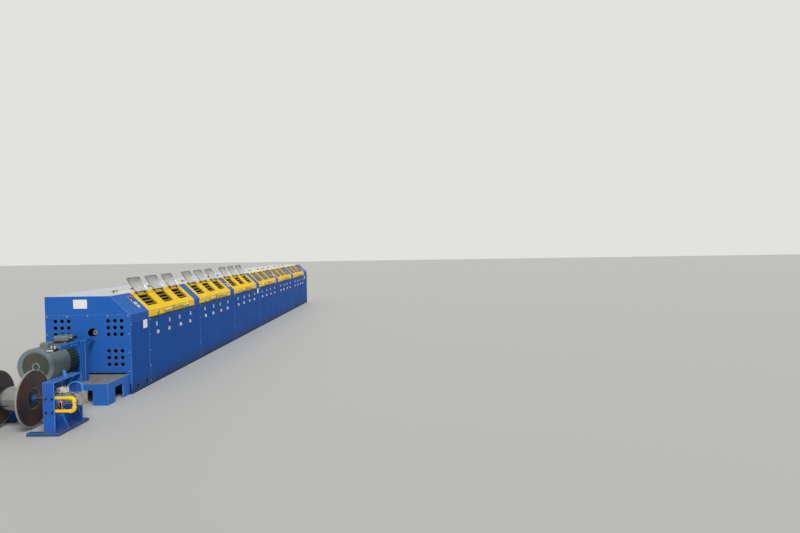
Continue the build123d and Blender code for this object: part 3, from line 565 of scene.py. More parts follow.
# Finger notches of the windows: half-moon lips pressed up out of the door sheet between the lid
# hinges. They are painted the palest yellow as a painted highlight.
NOTCH_HALF = 0.084
NOTCH_RUNS = (0.010, 0.031)
NOTCH_RISE = 0.0055
NOTCH_STEPS = 14
WINDOWS_PER_DOOR = 3


def window_middles(start):
    """The middles of a door's windows along the machine."""
    return [start + (window + 0.5) * DOOR_LENGTH / WINDOWS_PER_DOOR
            for window in range(WINDOWS_PER_DOOR)]


highlight_yellow = sprayed_enamel("painted_highlight_yellow", "FFE454", YELLOW_DUST, "FFF4B8", 0.22, 0.10)
depth = NOTCH_RUNS[1] - NOTCH_RUNS[0]
half_moon = [(depth / 2 - depth * sin(pi * step / NOTCH_STEPS),
              NOTCH_HALF * cos(pi * step / NOTCH_STEPS)) for step in range(NOTCH_STEPS + 1)]
for bay, start in enumerate(starts, 1):
    notches = bmesh.new()
    for middle in window_middles(start):
        matrix = on_slope(middle) @ Matrix.Translation((sum(NOTCH_RUNS) / 2, 0, 0))
        plate(notches, matrix, half_moon, NOTCH_RISE, edge=SOFT_EDGE)
    place_piece(f"finger_notches_{bay}", f"door_{bay}", notches, highlight_yellow, sharp=50)

# Window lids: 3 mm rolled steel sheet with rounded corners, edged with a black rubber profile.
# The inner face is bare and mirrors the pale roof, stained near its free end, and the outer
# face is a dull grey-green primer.
LID_AXIS = (0.034, 0, 0.014)
LID_RUNS = (0.047, 0.247)
LID_WIDTH = 0.338
LID_CORNER = 0.028
LID_LEVELS = (0.0083, 0.0113)
LID_OPEN = radians(168)
RAISED_LIDS = 9
SMEAR_SIZE = 0.0714
SHADED_RUN = (0.05, 0.16)
STAINED_RUN = (0.12, 0.17)
RUBBER_WIDTH = 0.005
RUBBER_LEVELS = (LID_LEVELS[0] - 0.0014, LID_LEVELS[1] + 0.0014)
# The rubber's section: how far inside the sheet's edge each corner lies, and its level.
RUBBER_SECTION = (
    (RUBBER_WIDTH, RUBBER_LEVELS[0]), (-0.001, RUBBER_LEVELS[0]), (-0.0025, LID_LEVELS[0]),
    (-0.0025, LID_LEVELS[1]), (-0.001, RUBBER_LEVELS[1]), (RUBBER_WIDTH, RUBBER_LEVELS[1]),
    (RUBBER_WIDTH, LID_LEVELS[1] - 0.001), (RUBBER_WIDTH, LID_LEVELS[0]))


def lid_place(centre, raised):
    """The slope's axes for a closed lid, or those turned open about the lid's hinge."""
    matrix = on_slope(centre)
    if raised:
        hinge = Matrix.Translation(LID_AXIS)
        matrix = matrix @ hinge @ Matrix.Rotation(-LID_OPEN, 4, "Y") @ hinge.inverted()
    return matrix


def lid_sheet(name, raised):
    """Rolled sheet, bare inside and primed outside, with smears along its length."""
    look = metal(name, "E4E5E3", "C3C5C4", 0.27, 0.010, stretch=(1, 0.15, 1))
    turn = lid_place(0, raised)
    along, outward = (turn.to_3x3() @ Vector(axis) for axis in ((1, 0, 0), UP))
    foot = turn @ Vector((LID_RUNS[0], 0, 0))
    layer(look, ramp(look.spot, along, *SHADED_RUN, foot), "A4A6A6")
    smears = add_node(look.tree, "TexNoise", {"Scale": 1 / SMEAR_SIZE, "Detail": 5},
                      {"Vector": look.spot})
    stain = add_node(look.tree, "MapRange", {"From Min": 0.55, "From Max": 0.7, "To Max": 0.7},
                     {"Value": smears})
    layer(look, where_all(stain, ramp(look.spot, along, *STAINED_RUN, foot)), "7A6147")
    layer(look, ramp(look.facing, outward, 0.3, 0.5), "474B44")
    set_node(look.skin, {}, {"Metallic": ramp(look.facing, outward, 0.5, 0.3)})
    return look


raised_sheet = lid_sheet("raised_lid_sheet", True)
closed_sheet = lid_sheet("closed_lid_sheet", False)
for lid, middle in enumerate([middle for start in starts for middle in window_middles(start)], 1):
    raised = lid <= RAISED_LIDS
    dress(raised_sheet if raised else closed_sheet, f"lid_{lid}")
    matrix = lid_place(middle, raised) @ Matrix.Translation((sum(LID_RUNS) / 2, 0, 0))
    edging = bmesh.new()
    rings = [[edging.verts.new(matrix @ Vector((x, y, level))) for x, y in rounded_outline(
        LID_RUNS[1] - LID_RUNS[0] - 2 * inset, LID_WIDTH - 2 * inset, LID_CORNER - inset)]
        for inset, level in RUBBER_SECTION]
    for first, second in zip(rings, rings[1:] + rings[:1]):
        bridge(edging, first, second)
    place_piece(f"lid_edging_{lid}", f"window_lid_{lid}", edging, rubber)

# Lip gear of each door: two quarter-turn locks with black faces in pale chromed rings, and a
# latch rod of turned grey steel with a chromed grip, a cam-shaped pivot and a sleeve. All of
# it is screwed to the lip, and its bright parts pick out the yellow's lower edge.
LIP_LEVEL = 0.836
LOCK_PLACES = (0.250, 1.270)
LOCK_RING = ((-0.001, 0.029), (0.006, 0.029), (0.009, 0.0265), (0.0155, 0.0262),
             (0.0165, 0.0245), (0.0160, 0.0225), (0.0145, 0.0220))
LOCK_FACE = ((0.0142, 0.0222), (0.0150, 0.0215), (0.0150, 0.0))
LOCK_RIB = (0.004, 0.020, 0.0015)
LOCK_RIB_LEVELS = (0.0148, 0.0160)
GRIP_PLACE = 0.435
GRIP_LENGTH = 0.216
GRIP = ((-0.003, 0.0), (-0.003, 0.009), (0.001, 0.0130), (0.020, 0.0134),
        (GRIP_LENGTH - 0.020, 0.0134), (GRIP_LENGTH - 0.001, 0.0130),
        (GRIP_LENGTH + 0.003, 0.009), (GRIP_LENGTH + 0.003, 0.0))
ROD_OUT = 0.016
ROD_RADIUS = 0.0066
ROD_LENGTH = 0.609
SLEEVE_PLACE = 1.040
SLEEVE_LENGTH = 0.206
SLEEVE_RADIUS = 0.0095
SLEEVE = ((0, ROD_RADIUS), (0, SLEEVE_RADIUS), (SLEEVE_LENGTH, SLEEVE_RADIUS),
          (SLEEVE_LENGTH, ROD_RADIUS))
PIVOT_PLACE = 0.760
PIVOT_LEVEL = 0.840
CAM = ((0.009, 0.0), (0.009, 0.030), (0.0175, 0.030), (0.021, 0.024), (0.0215, 0.010),
       (0.025, 0.0095), (0.0255, 0.0))

grey_steel = metal("turned_grey_steel", "9EA1A3", "6C6F71", 0.34, 0.003, stretch=(1, 0.1, 1))
for bay, start in enumerate(starts, 1):
    gear = bmesh.new()
    for y in LOCK_PLACES:
        foot = (DOOR_SIDE, start + y, LIP_LEVEL)
        turned(gear, foot, (1, 0, 0), LOCK_RING, slot=0, steps=36)
        turned(gear, foot, (1, 0, 0), LOCK_FACE, slot=2, steps=36)
        plate(gear, facing_aisle(start + y, LIP_LEVEL, DOOR_SIDE + LOCK_RIB_LEVELS[0]),
              rounded_outline(*LOCK_RIB, steps=2), LOCK_RIB_LEVELS[1] - LOCK_RIB_LEVELS[0], slot=0)
    for y, profile, slot in (
            (GRIP_PLACE + GRIP_LENGTH, ((0, ROD_RADIUS), (ROD_LENGTH, ROD_RADIUS)), 1),
            (GRIP_PLACE, GRIP, 0), (SLEEVE_PLACE, SLEEVE, 0)):
        turned(gear, (DOOR_SIDE + ROD_OUT, start + y, LIP_LEVEL), (0, 1, 0), profile, slot=slot)
    turned(gear, (DOOR_SIDE, start + PIVOT_PLACE, PIVOT_LEVEL), (1, 0, 0), CAM, slot=1, steps=40)
    place_piece(f"lip_gear_{bay}", f"door_{bay}", gear, chrome, grey_steel, black_plastic)

# Rotor: rolled and machined steel tube with an oil film and brown stains, cradles of the same steel,
# and worn bobbins, all seen only as glints through the slots. At the near end the shaft is bright,
# and the tube's end round it is painted near black as painted shade.
OILED_STEEL = ("8A8781", "4E463C", 0.36, 0.010, (1, 0.2, 1))
SHAFT_SHOWS = (0.05, 0.03)
SHAFT_AXIS = (0, 0, 0.680)
SHAFT_EDGE = (0.028, 0.029)


def from_axis(look, point, across):
    """Each point's distance from an axis: across is one in the two directions off the axis."""
    away = add_node(look.tree, "VectorMath", {"operation": "SUBTRACT", 1: point}, {0: look.spot})
    away = add_node(look.tree, "VectorMath", {"operation": "MULTIPLY", 1: across}, {0: away})
    return add_node(look.tree, "VectorMath", {"operation": "LENGTH"}, {0: away})


dress(metal("oiled_machined_steel", *OILED_STEEL), "bobbin_cradles")
dress(metal("worn_bright_steel", "B9B7B2", "7E7A73", 0.30, 0.006, stretch=(0.2, 1, 1)), "bobbins")
look = metal("bored_tube_steel", *OILED_STEEL)
near_end = ramp(look.spot, (0, 1, 0), *SHAFT_SHOWS)
off_shaft = add_node(look.tree, "MapRange", {"From Min": SHAFT_EDGE[0], "From Max": SHAFT_EDGE[1]},
                     {"Value": from_axis(look, SHAFT_AXIS, (1, 0, 1))})
layer(look, near_end, "E4E4E0")
# Painted shade: the tube's end round the shaft is near black.
layer(look, where_all(near_end, off_shaft), "2B2825")
dress(look, "rotor_tube")

# Drive motor: cast iron and pressed steel in grey-green enamel, dull and oily. The fan cowl
# has a rolled rim and a dark punched guard with a pale embossed ring in its middle.
MOTOR_GREY = "6E7C7B"
# Real guards have holes about 5 mm apart. They are drawn coarser, so that they show.
GUARD_HOLE_PITCH = 0.009
GUARD_DUST = 0.0833
GUARD_INSET = 0.006
GUARD_RADIUS = 0.1395
GUARD = ((0, GUARD_RADIUS), (0.0012, GUARD_RADIUS - 0.001), (0.0012, 0.0))
RING = ((0.001, 0.041), (0.0045, 0.039), (0.0045, 0.033), (0.001, 0.031))
RIM_INSET = 0.021
RIM_REACH = (0.004, 0.0205)
RIM_STEPS = 8

look = sprayed_enamel("grey_green_enamel", MOTOR_GREY, "8A8D84", "9BA8A4", 0.42, 0.5)
dress(look, "fan_cowl", "terminal_boxes")
look = sprayed_enamel("oily_motor_enamel", "3F4A48", "5B5A50", "7C8884", 0.45, 0.6)
dress(look, "motor_body")
rim_enamel = sprayed_enamel("rubbed_cowl_enamel", "788689", "8E9290", "AAB4B2", 0.40, 0.4)

# The holes are painted near black, as painted shade for the dark behind the guard.
punched = look = new_look("punched_guard_sheet", "0B0C0C", {})
holes = add_node(look.tree, "TexVoronoi", {"Scale": 1 / GUARD_HOLE_PITCH, "Randomness": 0.0},
                 {"Vector": look.spot})
sheet = add_node(look.tree, "MapRange", {"From Min": 0.30, "From Max": 0.36}, {"Value": holes})
dust = add_node(look.tree, "TexNoise", {"Scale": 1 / GUARD_DUST, "Detail": 5},
                {"Vector": look.spot})
layer(look, sheet, "3A3F3D")
layer(look, where_all(sheet, dust), "55544C")
finish(look, dust, (0, 1), (0.5, 0.8), sheet, 0.6, 0.001)

cowl_low, cowl_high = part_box("fan_cowl")
cowl_x, cowl_z = (cowl_low.x + cowl_high.x) / 2, (cowl_low.z + cowl_high.z) / 2
rim_radius = (cowl_high.x - cowl_low.x) / 2 - RIM_INSET
rim = [(RIM_REACH[0] * sin(pi * step / RIM_STEPS),
        rim_radius + RIM_REACH[1] * cos(pi * step / RIM_STEPS)) for step in range(RIM_STEPS + 1)]
cowl = bmesh.new()
for inset, profile, slot, steps in ((GUARD_INSET, GUARD, 0, 72), (GUARD_INSET, RING, 1, 8),
                                    (0, rim, 1, 72)):
    turned(cowl, (cowl_x, cowl_low.y + inset, cowl_z), (0, -1, 0), profile, slot, steps)
place_piece("cowl_guard", "housing", cowl, punched, rim_enamel)

# Terminal box: nickel-plated brass and black nylon cable glands on its side, and a pressed
# lid with clipped corners over a rubber gasket, held by four screws. One thin black lead runs
# from it over the cowl to the small box.
BOX_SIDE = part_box("terminal_boxes")[1].x
GLAND = ((0.0, 0.017), (0.006, 0.017), (0.007, 0.0135), (0.020, 0.0135), (0.021, 0.016),
         (0.034, 0.0155), (0.037, 0.011), (0.037, 0.0))
GLAND_PLACES = ((-0.240, 0), (-0.195, 1), (-0.155, 1))
GLAND_Z = 0.655
BOX_LID = (0.152, 0.190)
BOX_LID_CLIP = 0.034
BOX_LID_TOP = 0.681
GASKET_MARGIN = 0.003
GASKET_LEVELS = (0.6285, 0.6345)
LID_SCREW = 0.052
LEAD = ((-0.272, -0.2865, 0.622), (-0.272, -0.303, 0.622), (-0.280, -0.335, 0.6135),
        (-0.286, -0.370, 0.6125), (-0.280, -0.400, 0.6145), (-0.272, -0.418, 0.622),
        (-0.272, -0.4305, 0.624))


def clipped_outline(width, length, corner):
    """The outline of a rectangle with clipped corners, counter-clockwise."""
    x, y = width / 2, length / 2
    return [(x, corner - y), (x, y - corner), (x - corner, y), (corner - x, y),
            (-x, y - corner), (-x, corner - y), (corner - x, -y), (x - corner, -y)]


def hose(name, points, size, look):
    """A hose: a round tube swept along a smooth curve through the given points."""
    curve = bpy.data.curves.new(name, "CURVE")
    curve.dimensions = "3D"
    curve.resolution_u = 16
    curve.bevel_depth = size / 2
    curve.bevel_resolution = 4
    spline = curve.splines.new("NURBS")
    spline.points.add(len(points) - 1)
    for knot, point in zip(spline.points, points):
        knot.co = (*point, 1)
    spline.order_u = 3
    spline.use_endpoint_u = True
    curve.materials.append(look.material)
    piece = bpy.data.objects.new(name, curve)
    bpy.context.scene.collection.objects.link(piece)
    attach(piece, "housing")


nickel = metal("nickel_plating", "D9D2C4", "A1988A", 0.22, 0.003)
glands = bmesh.new()
for y, slot in GLAND_PLACES:
    turned(glands, (BOX_SIDE, y, GLAND_Z), (1, 0, 0), GLAND, slot, steps=6)
place_piece("cable_glands", "housing", glands, nickel, black_plastic)

lid_middle = Matrix.Translation((BOX_SIDE - BOX_LID[0] / 2,
                                 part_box("terminal_boxes")[1].y - BOX_LID[1] / 2, 0))
gasket = bmesh.new()
plate(gasket, lid_middle @ Matrix.Translation((0, 0, GASKET_LEVELS[0])), clipped_outline(
    BOX_LID[0] + GASKET_MARGIN, BOX_LID[1] + GASKET_MARGIN, BOX_LID_CLIP),
    GASKET_LEVELS[1] - GASKET_LEVELS[0])
for x, y in ((1, 1), (1, -1), (-1, 1), (-1, -1)):
    screw(gasket, lid_middle @ Vector((x * LID_SCREW, y * LID_SCREW, BOX_LID_TOP)), UP, slot=1)
place_piece("box_gasket", "housing", gasket, rubber, zinc_plating)
hose("motor_lead", LEAD, size=0.009, look=rubber)

# Drive platform: welded plate and square tube in the blue enamel. The deck has worn through
# to grey-brown oiled plate with rust spots.
RUST_SPOT = 0.0625

look = sprayed_enamel("platform_enamel", BLUE, BLUE_DUST, BLUE_WORN_LIT_EDGE, 0.38, 0.4)
deck = on_top(look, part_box("drive_platform")[1].z, 0.8, 0.9)
rust = add_node(look.tree, "TexNoise", {"Scale": 1 / RUST_SPOT, "Detail": 8, "Roughness": 0.7},
                {"Vector": look.spot})
rusty = add_node(look.tree, "MapRange", {"From Min": 0.52, "From Max": 0.66}, {"Value": rust})
layer(look, deck, "84857F")
layer(look, where_all(deck, rusty), "6B5D50")
gloss = look.skin.inputs["Roughness"].links[0].from_socket
rough = add_node(look.tree, "Mix", {"data_type": "FLOAT", 3: 0.7}, {0: deck, 2: gloss})
set_node(look.skin, {}, {"Roughness": rough})
dress(look, "drive_platform")

# Wire guide: the welded post and arm are blue, the roller head at the front end is blackened
# steel, and the three rollers are hardened and polished, so they shine.
HEAD_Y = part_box("guide_roller_left")[1].y + 0.006

look = sprayed_enamel("guide_enamel", "1E56A4", BLUE_DUST, "8AB4EE", 0.34, 0.10)
layer(look, ramp(look.spot, (0, 1, 0), HEAD_Y + 0.002, HEAD_Y), "1E1F20")
dress(look, "guide_post")
dress(metal("polished_roller_steel", "E9E7E3", "BDB9B2", 0.14, 0.004), "guide_roller_low",
      "guide_roller_left", "guide_roller_right")

# Pay-off stand: folded and welded plate in blue enamel, darker towards the floor, with a paler lug
# on top, and bolted with dark hex screws into the guard's sockets.
STAND_TOP = 0.465
STAND_BOLT_X = (0.376, 0.430)
STAND_BOLT_Z = (0.207, 0.324)
HEX_HEAD = ((0.0, 0.0115), (0.002, 0.0115), (0.0021, 0.0095), (0.0075, 0.0095),
            (0.0085, 0.0085), (0.0085, 0.0))

look = sprayed_enamel("stand_enamel", "2C5EB2", BLUE_DUST, BLUE_WORN_LIT_EDGE, 0.40, 0.16)
layer(look, ramp(look.spot, UP, STAND_TOP + 0.002, STAND_TOP + 0.006), "4F88DC")
darken_low(look, "3E5270", 0.08, 0.01)
dress(look, "stand_upright_left", "stand_upright_right", "stand_base")
stand_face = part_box("stand_upright_right")[0].y
bolts = bmesh.new()
for side in (1, -1):
    for z in STAND_BOLT_Z:
        for x in STAND_BOLT_X:
            turned(bolts, (side * x, stand_face, z), (0, -1, 0), HEX_HEAD, steps=6)
place_piece("stand_bolts", "housing", bolts,
            metal("blackened_steel", "4A4C4E", "2B2C2D", 0.42, 0.004))

# Reel: pressed and welded steel plate, brown with old rust and grease, its rims worn bright
# by rolling on the floor. Turning marks and dirt run in rings.
BLOT_SIZE = 0.2
RING_PITCH = 0.00625
STEP_RADIUS = 0.093

reel_low, reel_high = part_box("reel")
axle = (reel_low + reel_high) / 2
axle.x = 0
reel_radius = (reel_high.z - reel_low.z) / 2
look = new_look("rusty_reel_plate", "272220", {})
tree = look.tree
radius = from_axis(look, axle, (0, 1, 1))
off_axle = add_node(tree, "VectorMath", {"operation": "SUBTRACT", 1: axle}, {0: look.spot})
blots = add_node(tree, "TexNoise", {"Scale": 1 / BLOT_SIZE, "Detail": 9, "Roughness": 0.66},
                 {"Vector": off_axle})
rings = add_node(tree, "TexNoise", {"noise_dimensions": "1D", "Scale": 1 / RING_PITCH, "Detail": 3},
                 {"W": radius})
from_step = add_node(tree, "Math", {"operation": "SUBTRACT", 1: STEP_RADIUS}, {0: radius})
from_step = add_node(tree, "Math", {"operation": "ABSOLUTE"}, {0: from_step})
# Rust in blots, dirt in rings, the dark centre, the bright step round it and the worn rim.
for value, low, high, most, colour in (
        (blots, 0.4, 0.62, 1.0, "4C2D26"), (rings, 0.5, 0.8, 0.5, "66605A"),
        (radius, STEP_RADIUS + 0.010, STEP_RADIUS - 0.004, 1.0, "23221F"),
        (from_step, 0.0045, 0.0025, 1.0, "7D7566"),
        (radius, reel_radius - 0.009, reel_radius - 0.004, 1.0, "A39C90")):
    share = add_node(tree, "MapRange", {"From Min": low, "From Max": high, "To Max": most},
                     {"Value": value})
    layer(look, share, colour)
# The last share, the worn rim's, is also where the plate is bare metal.
set_node(look.skin, {}, {"Metallic": where_all(share, blots)})
finish(look, blots, (0.35, 0.65), (0.38, 0.75), blots, 0.35, 0.0008, outer_edges(look, 0.002)[1])
dress(look, "reel")

# Wire on the reel: cold-drawn bright steel, laid turn beside turn. The turns run round the
# barrel as fine ribs, so the winding shines in long bands.
WIRE_SIZE = 0.0025
SHEEN_PATCH = 0.1

look = new_look("bright_drawn_wire", "B2B4B6", {"Metallic": 1.0})
turns = add_node(look.tree, "TexWave", {"bands_direction": "X", "Scale": pi / 10 / WIRE_SIZE,
                                        "Distortion": 0.3, "Detail": 1}, {"Vector": look.spot})
sheen = add_node(look.tree, "TexNoise", {"Scale": 1 / SHEEN_PATCH, "Detail": 4},
                 {"Vector": look.spot})
layer(look, sheen, "7C7D7C")
finish(look, sheen, (0, 1), (0.10, 0.16), turns.node.outputs["Fac"], 0.08, WIRE_SIZE / 8)
dress(look, "wire_winding")

# Pintles: ground steel shafts that shine under a film of grease, with hubs in blue enamel
# that press into the reel's bores.
HUB_EDGE = (0.0225, 0.0235)

look = metal("ground_pintle_steel", "B4B1AA", "7B756B", 0.28, 0.004, stretch=(0.1, 1, 1))
radius = from_axis(look, axle, (0, 1, 1))
hub = add_node(look.tree, "MapRange", {"From Min": HUB_EDGE[0], "From Max": HUB_EDGE[1]},
               {"Value": radius})
bare = add_node(look.tree, "MapRange", {"From Min": HUB_EDGE[1], "From Max": HUB_EDGE[0]},
                {"Value": radius})
layer(look, hub, "2A4C8E")
set_node(look.skin, {}, {"Metallic": bare})
dress(look, "pintle_left", "pintle_right")

# Air cylinder and valves: a drawn aluminium barrel, smooth and bright, between dull cast end
# caps, and a bank of die-cast valves with push-in fittings and small black solenoid caps.
CAP_LENGTH = 0.029
TIE_INSET = 0.012
NUT = ((0.0, 0.0085), (0.006, 0.0085), (0.0065, 0.0055), (0.012, 0.0050), (0.013, 0.0))
PORT = ((0.0, 0.0085), (0.005, 0.0085), (0.0055, 0.0068), (0.013, 0.0068), (0.014, 0.0056),
        (0.017, 0.0054), (0.017, 0.0))
COIL_CAP = ((0.0, 0.0085), (0.010, 0.0085), (0.012, 0.0065), (0.012, 0.0))
ANGLE_FITTING = ((0.0, 0.0095), (0.008, 0.0095), (0.009, 0.0072), (0.024, 0.0070), (0.025, 0.0))
ANGLE_PLACE = (0.432, 0.373)
VALVES = 3
VALVE_SHARE = 0.45
PORT_FORWARD = -0.012
COIL_BACK = 0.016
SUNK = 0.0005

look = metal("satin_aluminium", "A8A9A3", "8C8C85", 0.40, 0.008)
cylinder_low, cylinder_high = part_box("air_cylinder")
barrel = where_all(ramp(look.spot, (1, 0, 0), CAP_LENGTH, CAP_LENGTH + 0.001, cylinder_low),
                   ramp(look.spot, (-1, 0, 0), CAP_LENGTH, CAP_LENGTH + 0.001, cylinder_high))
layer(look, barrel, "F2F4F6")
for socket, on_caps, on_barrel in (("Roughness", 0.42, 0.20), ("Metallic", 0.35, 0.9)):
    value = add_node(look.tree, "MapRange", {"To Min": on_caps, "To Max": on_barrel},
                     {"Value": barrel})
    set_node(look.skin, {}, {socket: value})
dress(look, "air_cylinder")
valve_alloy = metal("die_cast_valves", "E2E0D8", "B5B2A8", 0.45, 0.006, metallic=0.15)
dress(valve_alloy, "air_valves")

valve_low, valve_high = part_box("air_valves")
valve_step = (valve_high.x - valve_low.x) / VALVES
valve_y = (valve_low.y + valve_high.y) / 2
orange = moulded_plastic("orange_nylon", "D9682A", "B4552A", 0.35)
fittings = bmesh.new()
for y in (cylinder_low.y + TIE_INSET, cylinder_high.y - TIE_INSET):
    for z in (cylinder_low.z + TIE_INSET, cylinder_high.z - TIE_INSET):
        turned(fittings, (cylinder_high.x - SUNK, y, z), (1, 0, 0), NUT, steps=6)
for valve in range(VALVES):
    x = valve_low.x + (valve + VALVE_SHARE) * valve_step
    turned(fittings, (x, valve_y + PORT_FORWARD, valve_high.z), UP, PORT,
           slot=0 if valve else 1, steps=12)
    turned(fittings, (x, valve_y + COIL_BACK, valve_high.z), UP, COIL_CAP, slot=2, steps=16)
turned(fittings, (ANGLE_PLACE[0], valve_y, ANGLE_PLACE[1]), (1, 0, 1), ANGLE_FITTING, steps=16)
turned(fittings, (cylinder_high.x - CAP_LENGTH / 2, axle.y, cylinder_high.z), UP, PORT, steps=12)
place_piece("air_fittings", "housing", fittings, zinc_plating, orange, black_plastic)

# Pilot valve and regulator: a small die-cast block bolted to the front of the valves, and a
# black regulator with a red knob and a nickel nut, on a bent strip from the front gusset.
# Both are matt and even, against the bright fittings.
PILOT_LOW, PILOT_HIGH = (0.364, -1.446, 0.342), (0.428, -1.409, 0.390)
PILOT_MIDDLE = (PILOT_LOW[2] + PILOT_HIGH[2]) / 2
PILOT_COIL_INSET = 0.018
PILOT_PORT_INSET = 0.009
PILOT_ROW_INSET = 0.012
GUSSET_FACE = -1.4435
BRACKET_LOW, BRACKET_HIGH = (0.366, GUSSET_FACE - 0.003, 0.200), (0.434, GUSSET_FACE, 0.222)
BRACKET_NUT = (0.374, BRACKET_LOW[1], 0.211)
REGULATOR_LOW = (0.410, GUSSET_FACE - 0.0225, 0.178)
REGULATOR_HIGH = (0.434, GUSSET_FACE - 0.0025, 0.268)
KNOB = ((0.0, 0.006), (0.004, 0.006), (0.0045, 0.0095), (0.015, 0.0095), (0.017, 0.008),
        (0.0175, 0.0))
KNOB_Z = 0.236
SIDE_PORT_Z = 0.200
PUSH_FITTING = ((0.0, 0.0075), (0.003, 0.0075), (0.0035, 0.0062), (0.006, 0.0060), (0.006, 0.0))
SMALL_NUT = ((0.0, 0.0085), (0.007, 0.0085), (0.0075, 0.006), (0.012, 0.0058), (0.012, 0.0))
LOOP_Y = -1.456
LOOP_ENDS = ((0.2554, 0.5), (0.1886, -0.5))
SUPPLY_X = 0.418
SUPPLY_EXIT = (0.414, -1.440)
TOP_NUT_X, TOP_NUT_Z = 0.4005, 0.4565


def rounded_block(shape, low, high, edge, slot=0):
    """Adds a block with rounded edges."""
    block = bmesh.ops.create_cube(shape, size=1)["verts"]
    for corner in block:
        corner.co = Vector(low[axis] if corner.co[axis] < 0 else high[axis] for axis in range(3))
        for face in corner.link_faces:
            face.material_index = slot
    edges = dict.fromkeys(side for corner in block for side in corner.link_edges)
    bmesh.ops.bevel(shape, geom=list(edges), offset=edge, segments=2, affect="EDGES",
                    profile=0.5)


coil_y = PILOT_LOW[1] + PILOT_ROW_INSET
units = bmesh.new()
rounded_block(units, PILOT_LOW, PILOT_HIGH, 0.003)
rounded_block(units, BRACKET_LOW, BRACKET_HIGH, 0.001, slot=2)
rounded_block(units, REGULATOR_LOW, REGULATOR_HIGH, 0.004, slot=1)
for x in (PILOT_LOW[0] + PILOT_COIL_INSET, PILOT_HIGH[0] - PILOT_COIL_INSET):
    turned(units, (x, coil_y, PILOT_HIGH[2]), UP, COIL_CAP, slot=1, steps=16)
    turned(units, (x, PILOT_LOW[1], PILOT_MIDDLE), (0, -1, 0), SMALL_NUT, slot=2, steps=6)
for foot, axis, profile, slot, steps in (
        ((PILOT_LOW[0] + PILOT_PORT_INSET, coil_y, PILOT_HIGH[2]), UP, PORT, 3, 12),
        (BRACKET_NUT, (0, -1, 0), SMALL_NUT, 2, 6),
        ((REGULATOR_HIGH[0], LOOP_Y, KNOB_Z), (1, 0, 0), KNOB, 4, 20),
        ((REGULATOR_HIGH[0], LOOP_Y, SIDE_PORT_Z), (1, 0, 0), PORT, 2, 12),
        ((*SUPPLY_EXIT, PILOT_LOW[2]), (0, 0, -1), PUSH_FITTING, 0, 16),
        ((SUPPLY_X, LOOP_Y, REGULATOR_HIGH[2]), UP, PUSH_FITTING, 2, 16),
        ((TOP_NUT_X, valve_y + PORT_FORWARD, TOP_NUT_Z), (0, 0, -1), SMALL_NUT, 2, 6)):
    turned(units, foot, axis, profile, slot, steps)
for z, tilt in LOOP_ENDS:
    turned(units, (REGULATOR_LOW[0] + SUNK, LOOP_Y, z), (-cos(pi / 6), 0, -tilt), PUSH_FITTING,
           slot=3, steps=16)
place_piece("air_units", "housing", units, valve_alloy, black_plastic, nickel, orange, red_plastic)

# Air hoses: glossy polyurethane tube pushed into the fittings, stiff enough to stand in an
# arc. It is cyan from the valves to the cylinder's far cap, the top plate and the regulator,
# and an orange loop stands beside the regulator.
CAP_HOSE = ((0.449, -1.380, 0.390), (0.466, -1.380, 0.407), (0.495, -1.380, 0.424),
            (0.532, -1.380, 0.425), (0.5640, -1.380, 0.412), (0.5785, -1.380, 0.3830),
            (0.5785, -1.380, 0.353), (0.5785, -1.380, 0.345))
TOP_HOSE = ((0.3987, -1.392, 0.390), (0.3987, -1.392, 0.412), (0.4005, -1.392, 0.434),
            (0.4005, -1.392, 0.4565))
SUPPLY_HOSE = ((0.414, -1.440, 0.331), (0.414, -1.440, 0.317), (SUPPLY_X, LOOP_Y, 0.287),
               (SUPPLY_X, LOOP_Y, 0.273))
LOOP_HOSE = ((0.4092, LOOP_Y, 0.2550), (0.4074, LOOP_Y, 0.2540), (0.3926, LOOP_Y, 0.2454),
             (0.3840, LOOP_Y, 0.2306), (0.3840, LOOP_Y, 0.2134), (0.3926, LOOP_Y, 0.1986),
             (0.4074, LOOP_Y, 0.1900), (0.4092, LOOP_Y, 0.1890))

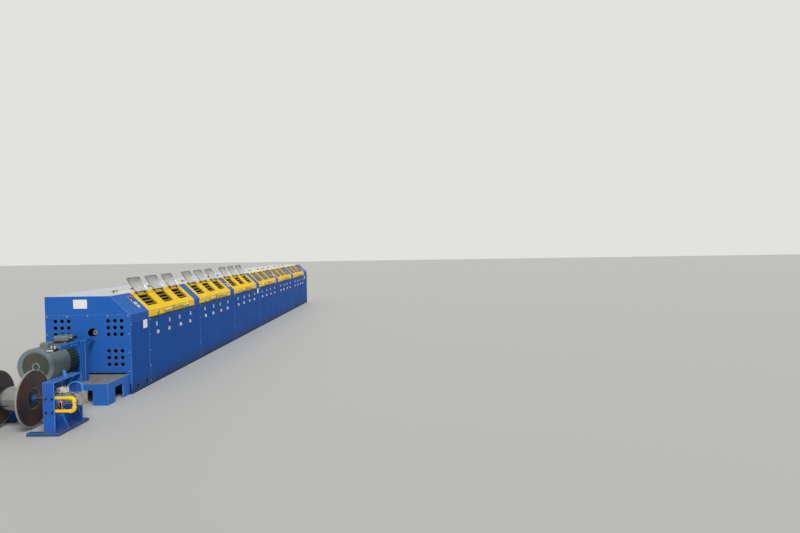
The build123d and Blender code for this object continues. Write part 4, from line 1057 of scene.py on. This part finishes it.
cyan_tube = moulded_plastic("cyan_polyurethane", "33A9DE", "57B8E0", 0.28)
orange_tube = moulded_plastic("orange_polyurethane", "E2632E", "C9562B", 0.30)
hose("cap_hose", CAP_HOSE, size=0.008, look=cyan_tube)
hose("top_hose", TOP_HOSE, size=0.008, look=cyan_tube)
hose("loop_hose", LOOP_HOSE, size=0.007, look=orange_tube)
hose("supply_hose", SUPPLY_HOSE, size=0.008, look=cyan_tube)

# Pipe guard: steel water pipe and two screwed cast elbows in bright yellow enamel. The elbows
# are thicker than the pipe and end in beaded collars.
PIPE = 0.0135
BEND = 0.030
BEND_STEPS = 8
ELBOW = 0.0172
ELBOW_TAIL = 0.001
COLLAR = ((0.005, PIPE - 0.001), (0.005, ELBOW + 0.0012), (0.004, ELBOW + 0.002),
          (0.001, ELBOW + 0.002), (0.0, ELBOW))


def bent_tube(shape, y, path, steps=24):
    """Adds a tube along a path of (x, z, radius) in a plane of constant Y."""
    rings = []
    for place, (x, z, radius) in enumerate(path):
        before, after = path[max(place - 1, 0)], path[min(place + 1, len(path) - 1)]
        across = Vector((before[1] - after[1], 0, after[0] - before[0])).normalized()
        rings.append([shape.verts.new(Vector((x, y, z)) + radius * (
            Vector((0, cos(angle), 0)) + across * sin(angle)))
            for angle in (2 * pi * step / steps for step in range(steps))])
    for low, high in zip(rings, rings[1:]):
        bridge(shape, low, high)


guard_enamel = sprayed_enamel("guard_enamel", "F8CC08", "C9A02C", "FFEB8C", 0.30, 0.12)
dress(guard_enamel, "pipe_guard")
guard_low, guard_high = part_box("pipe_guard")
elbows = bmesh.new()
corner_x = guard_high.x - PIPE
centre_x = corner_x - BEND
for z, up in ((guard_low.z + PIPE, 1), (guard_high.z - PIPE, -1)):
    centre_z = z + up * BEND
    angles = [pi / 2 * step / BEND_STEPS for step in range(BEND_STEPS + 1)]
    path = [(centre_x - ELBOW_TAIL - reach, z, radius) for reach, radius in COLLAR]
    path += [(centre_x + BEND * sin(angle), centre_z - up * BEND * cos(angle), ELBOW)
             for angle in angles]
    path += [(corner_x, centre_z + up * (ELBOW_TAIL + reach), radius)
             for reach, radius in COLLAR[::-1]]
    bent_tube(elbows, (guard_low.y + guard_high.y) / 2, path)
place_piece("guard_elbows", "housing", elbows, guard_enamel)
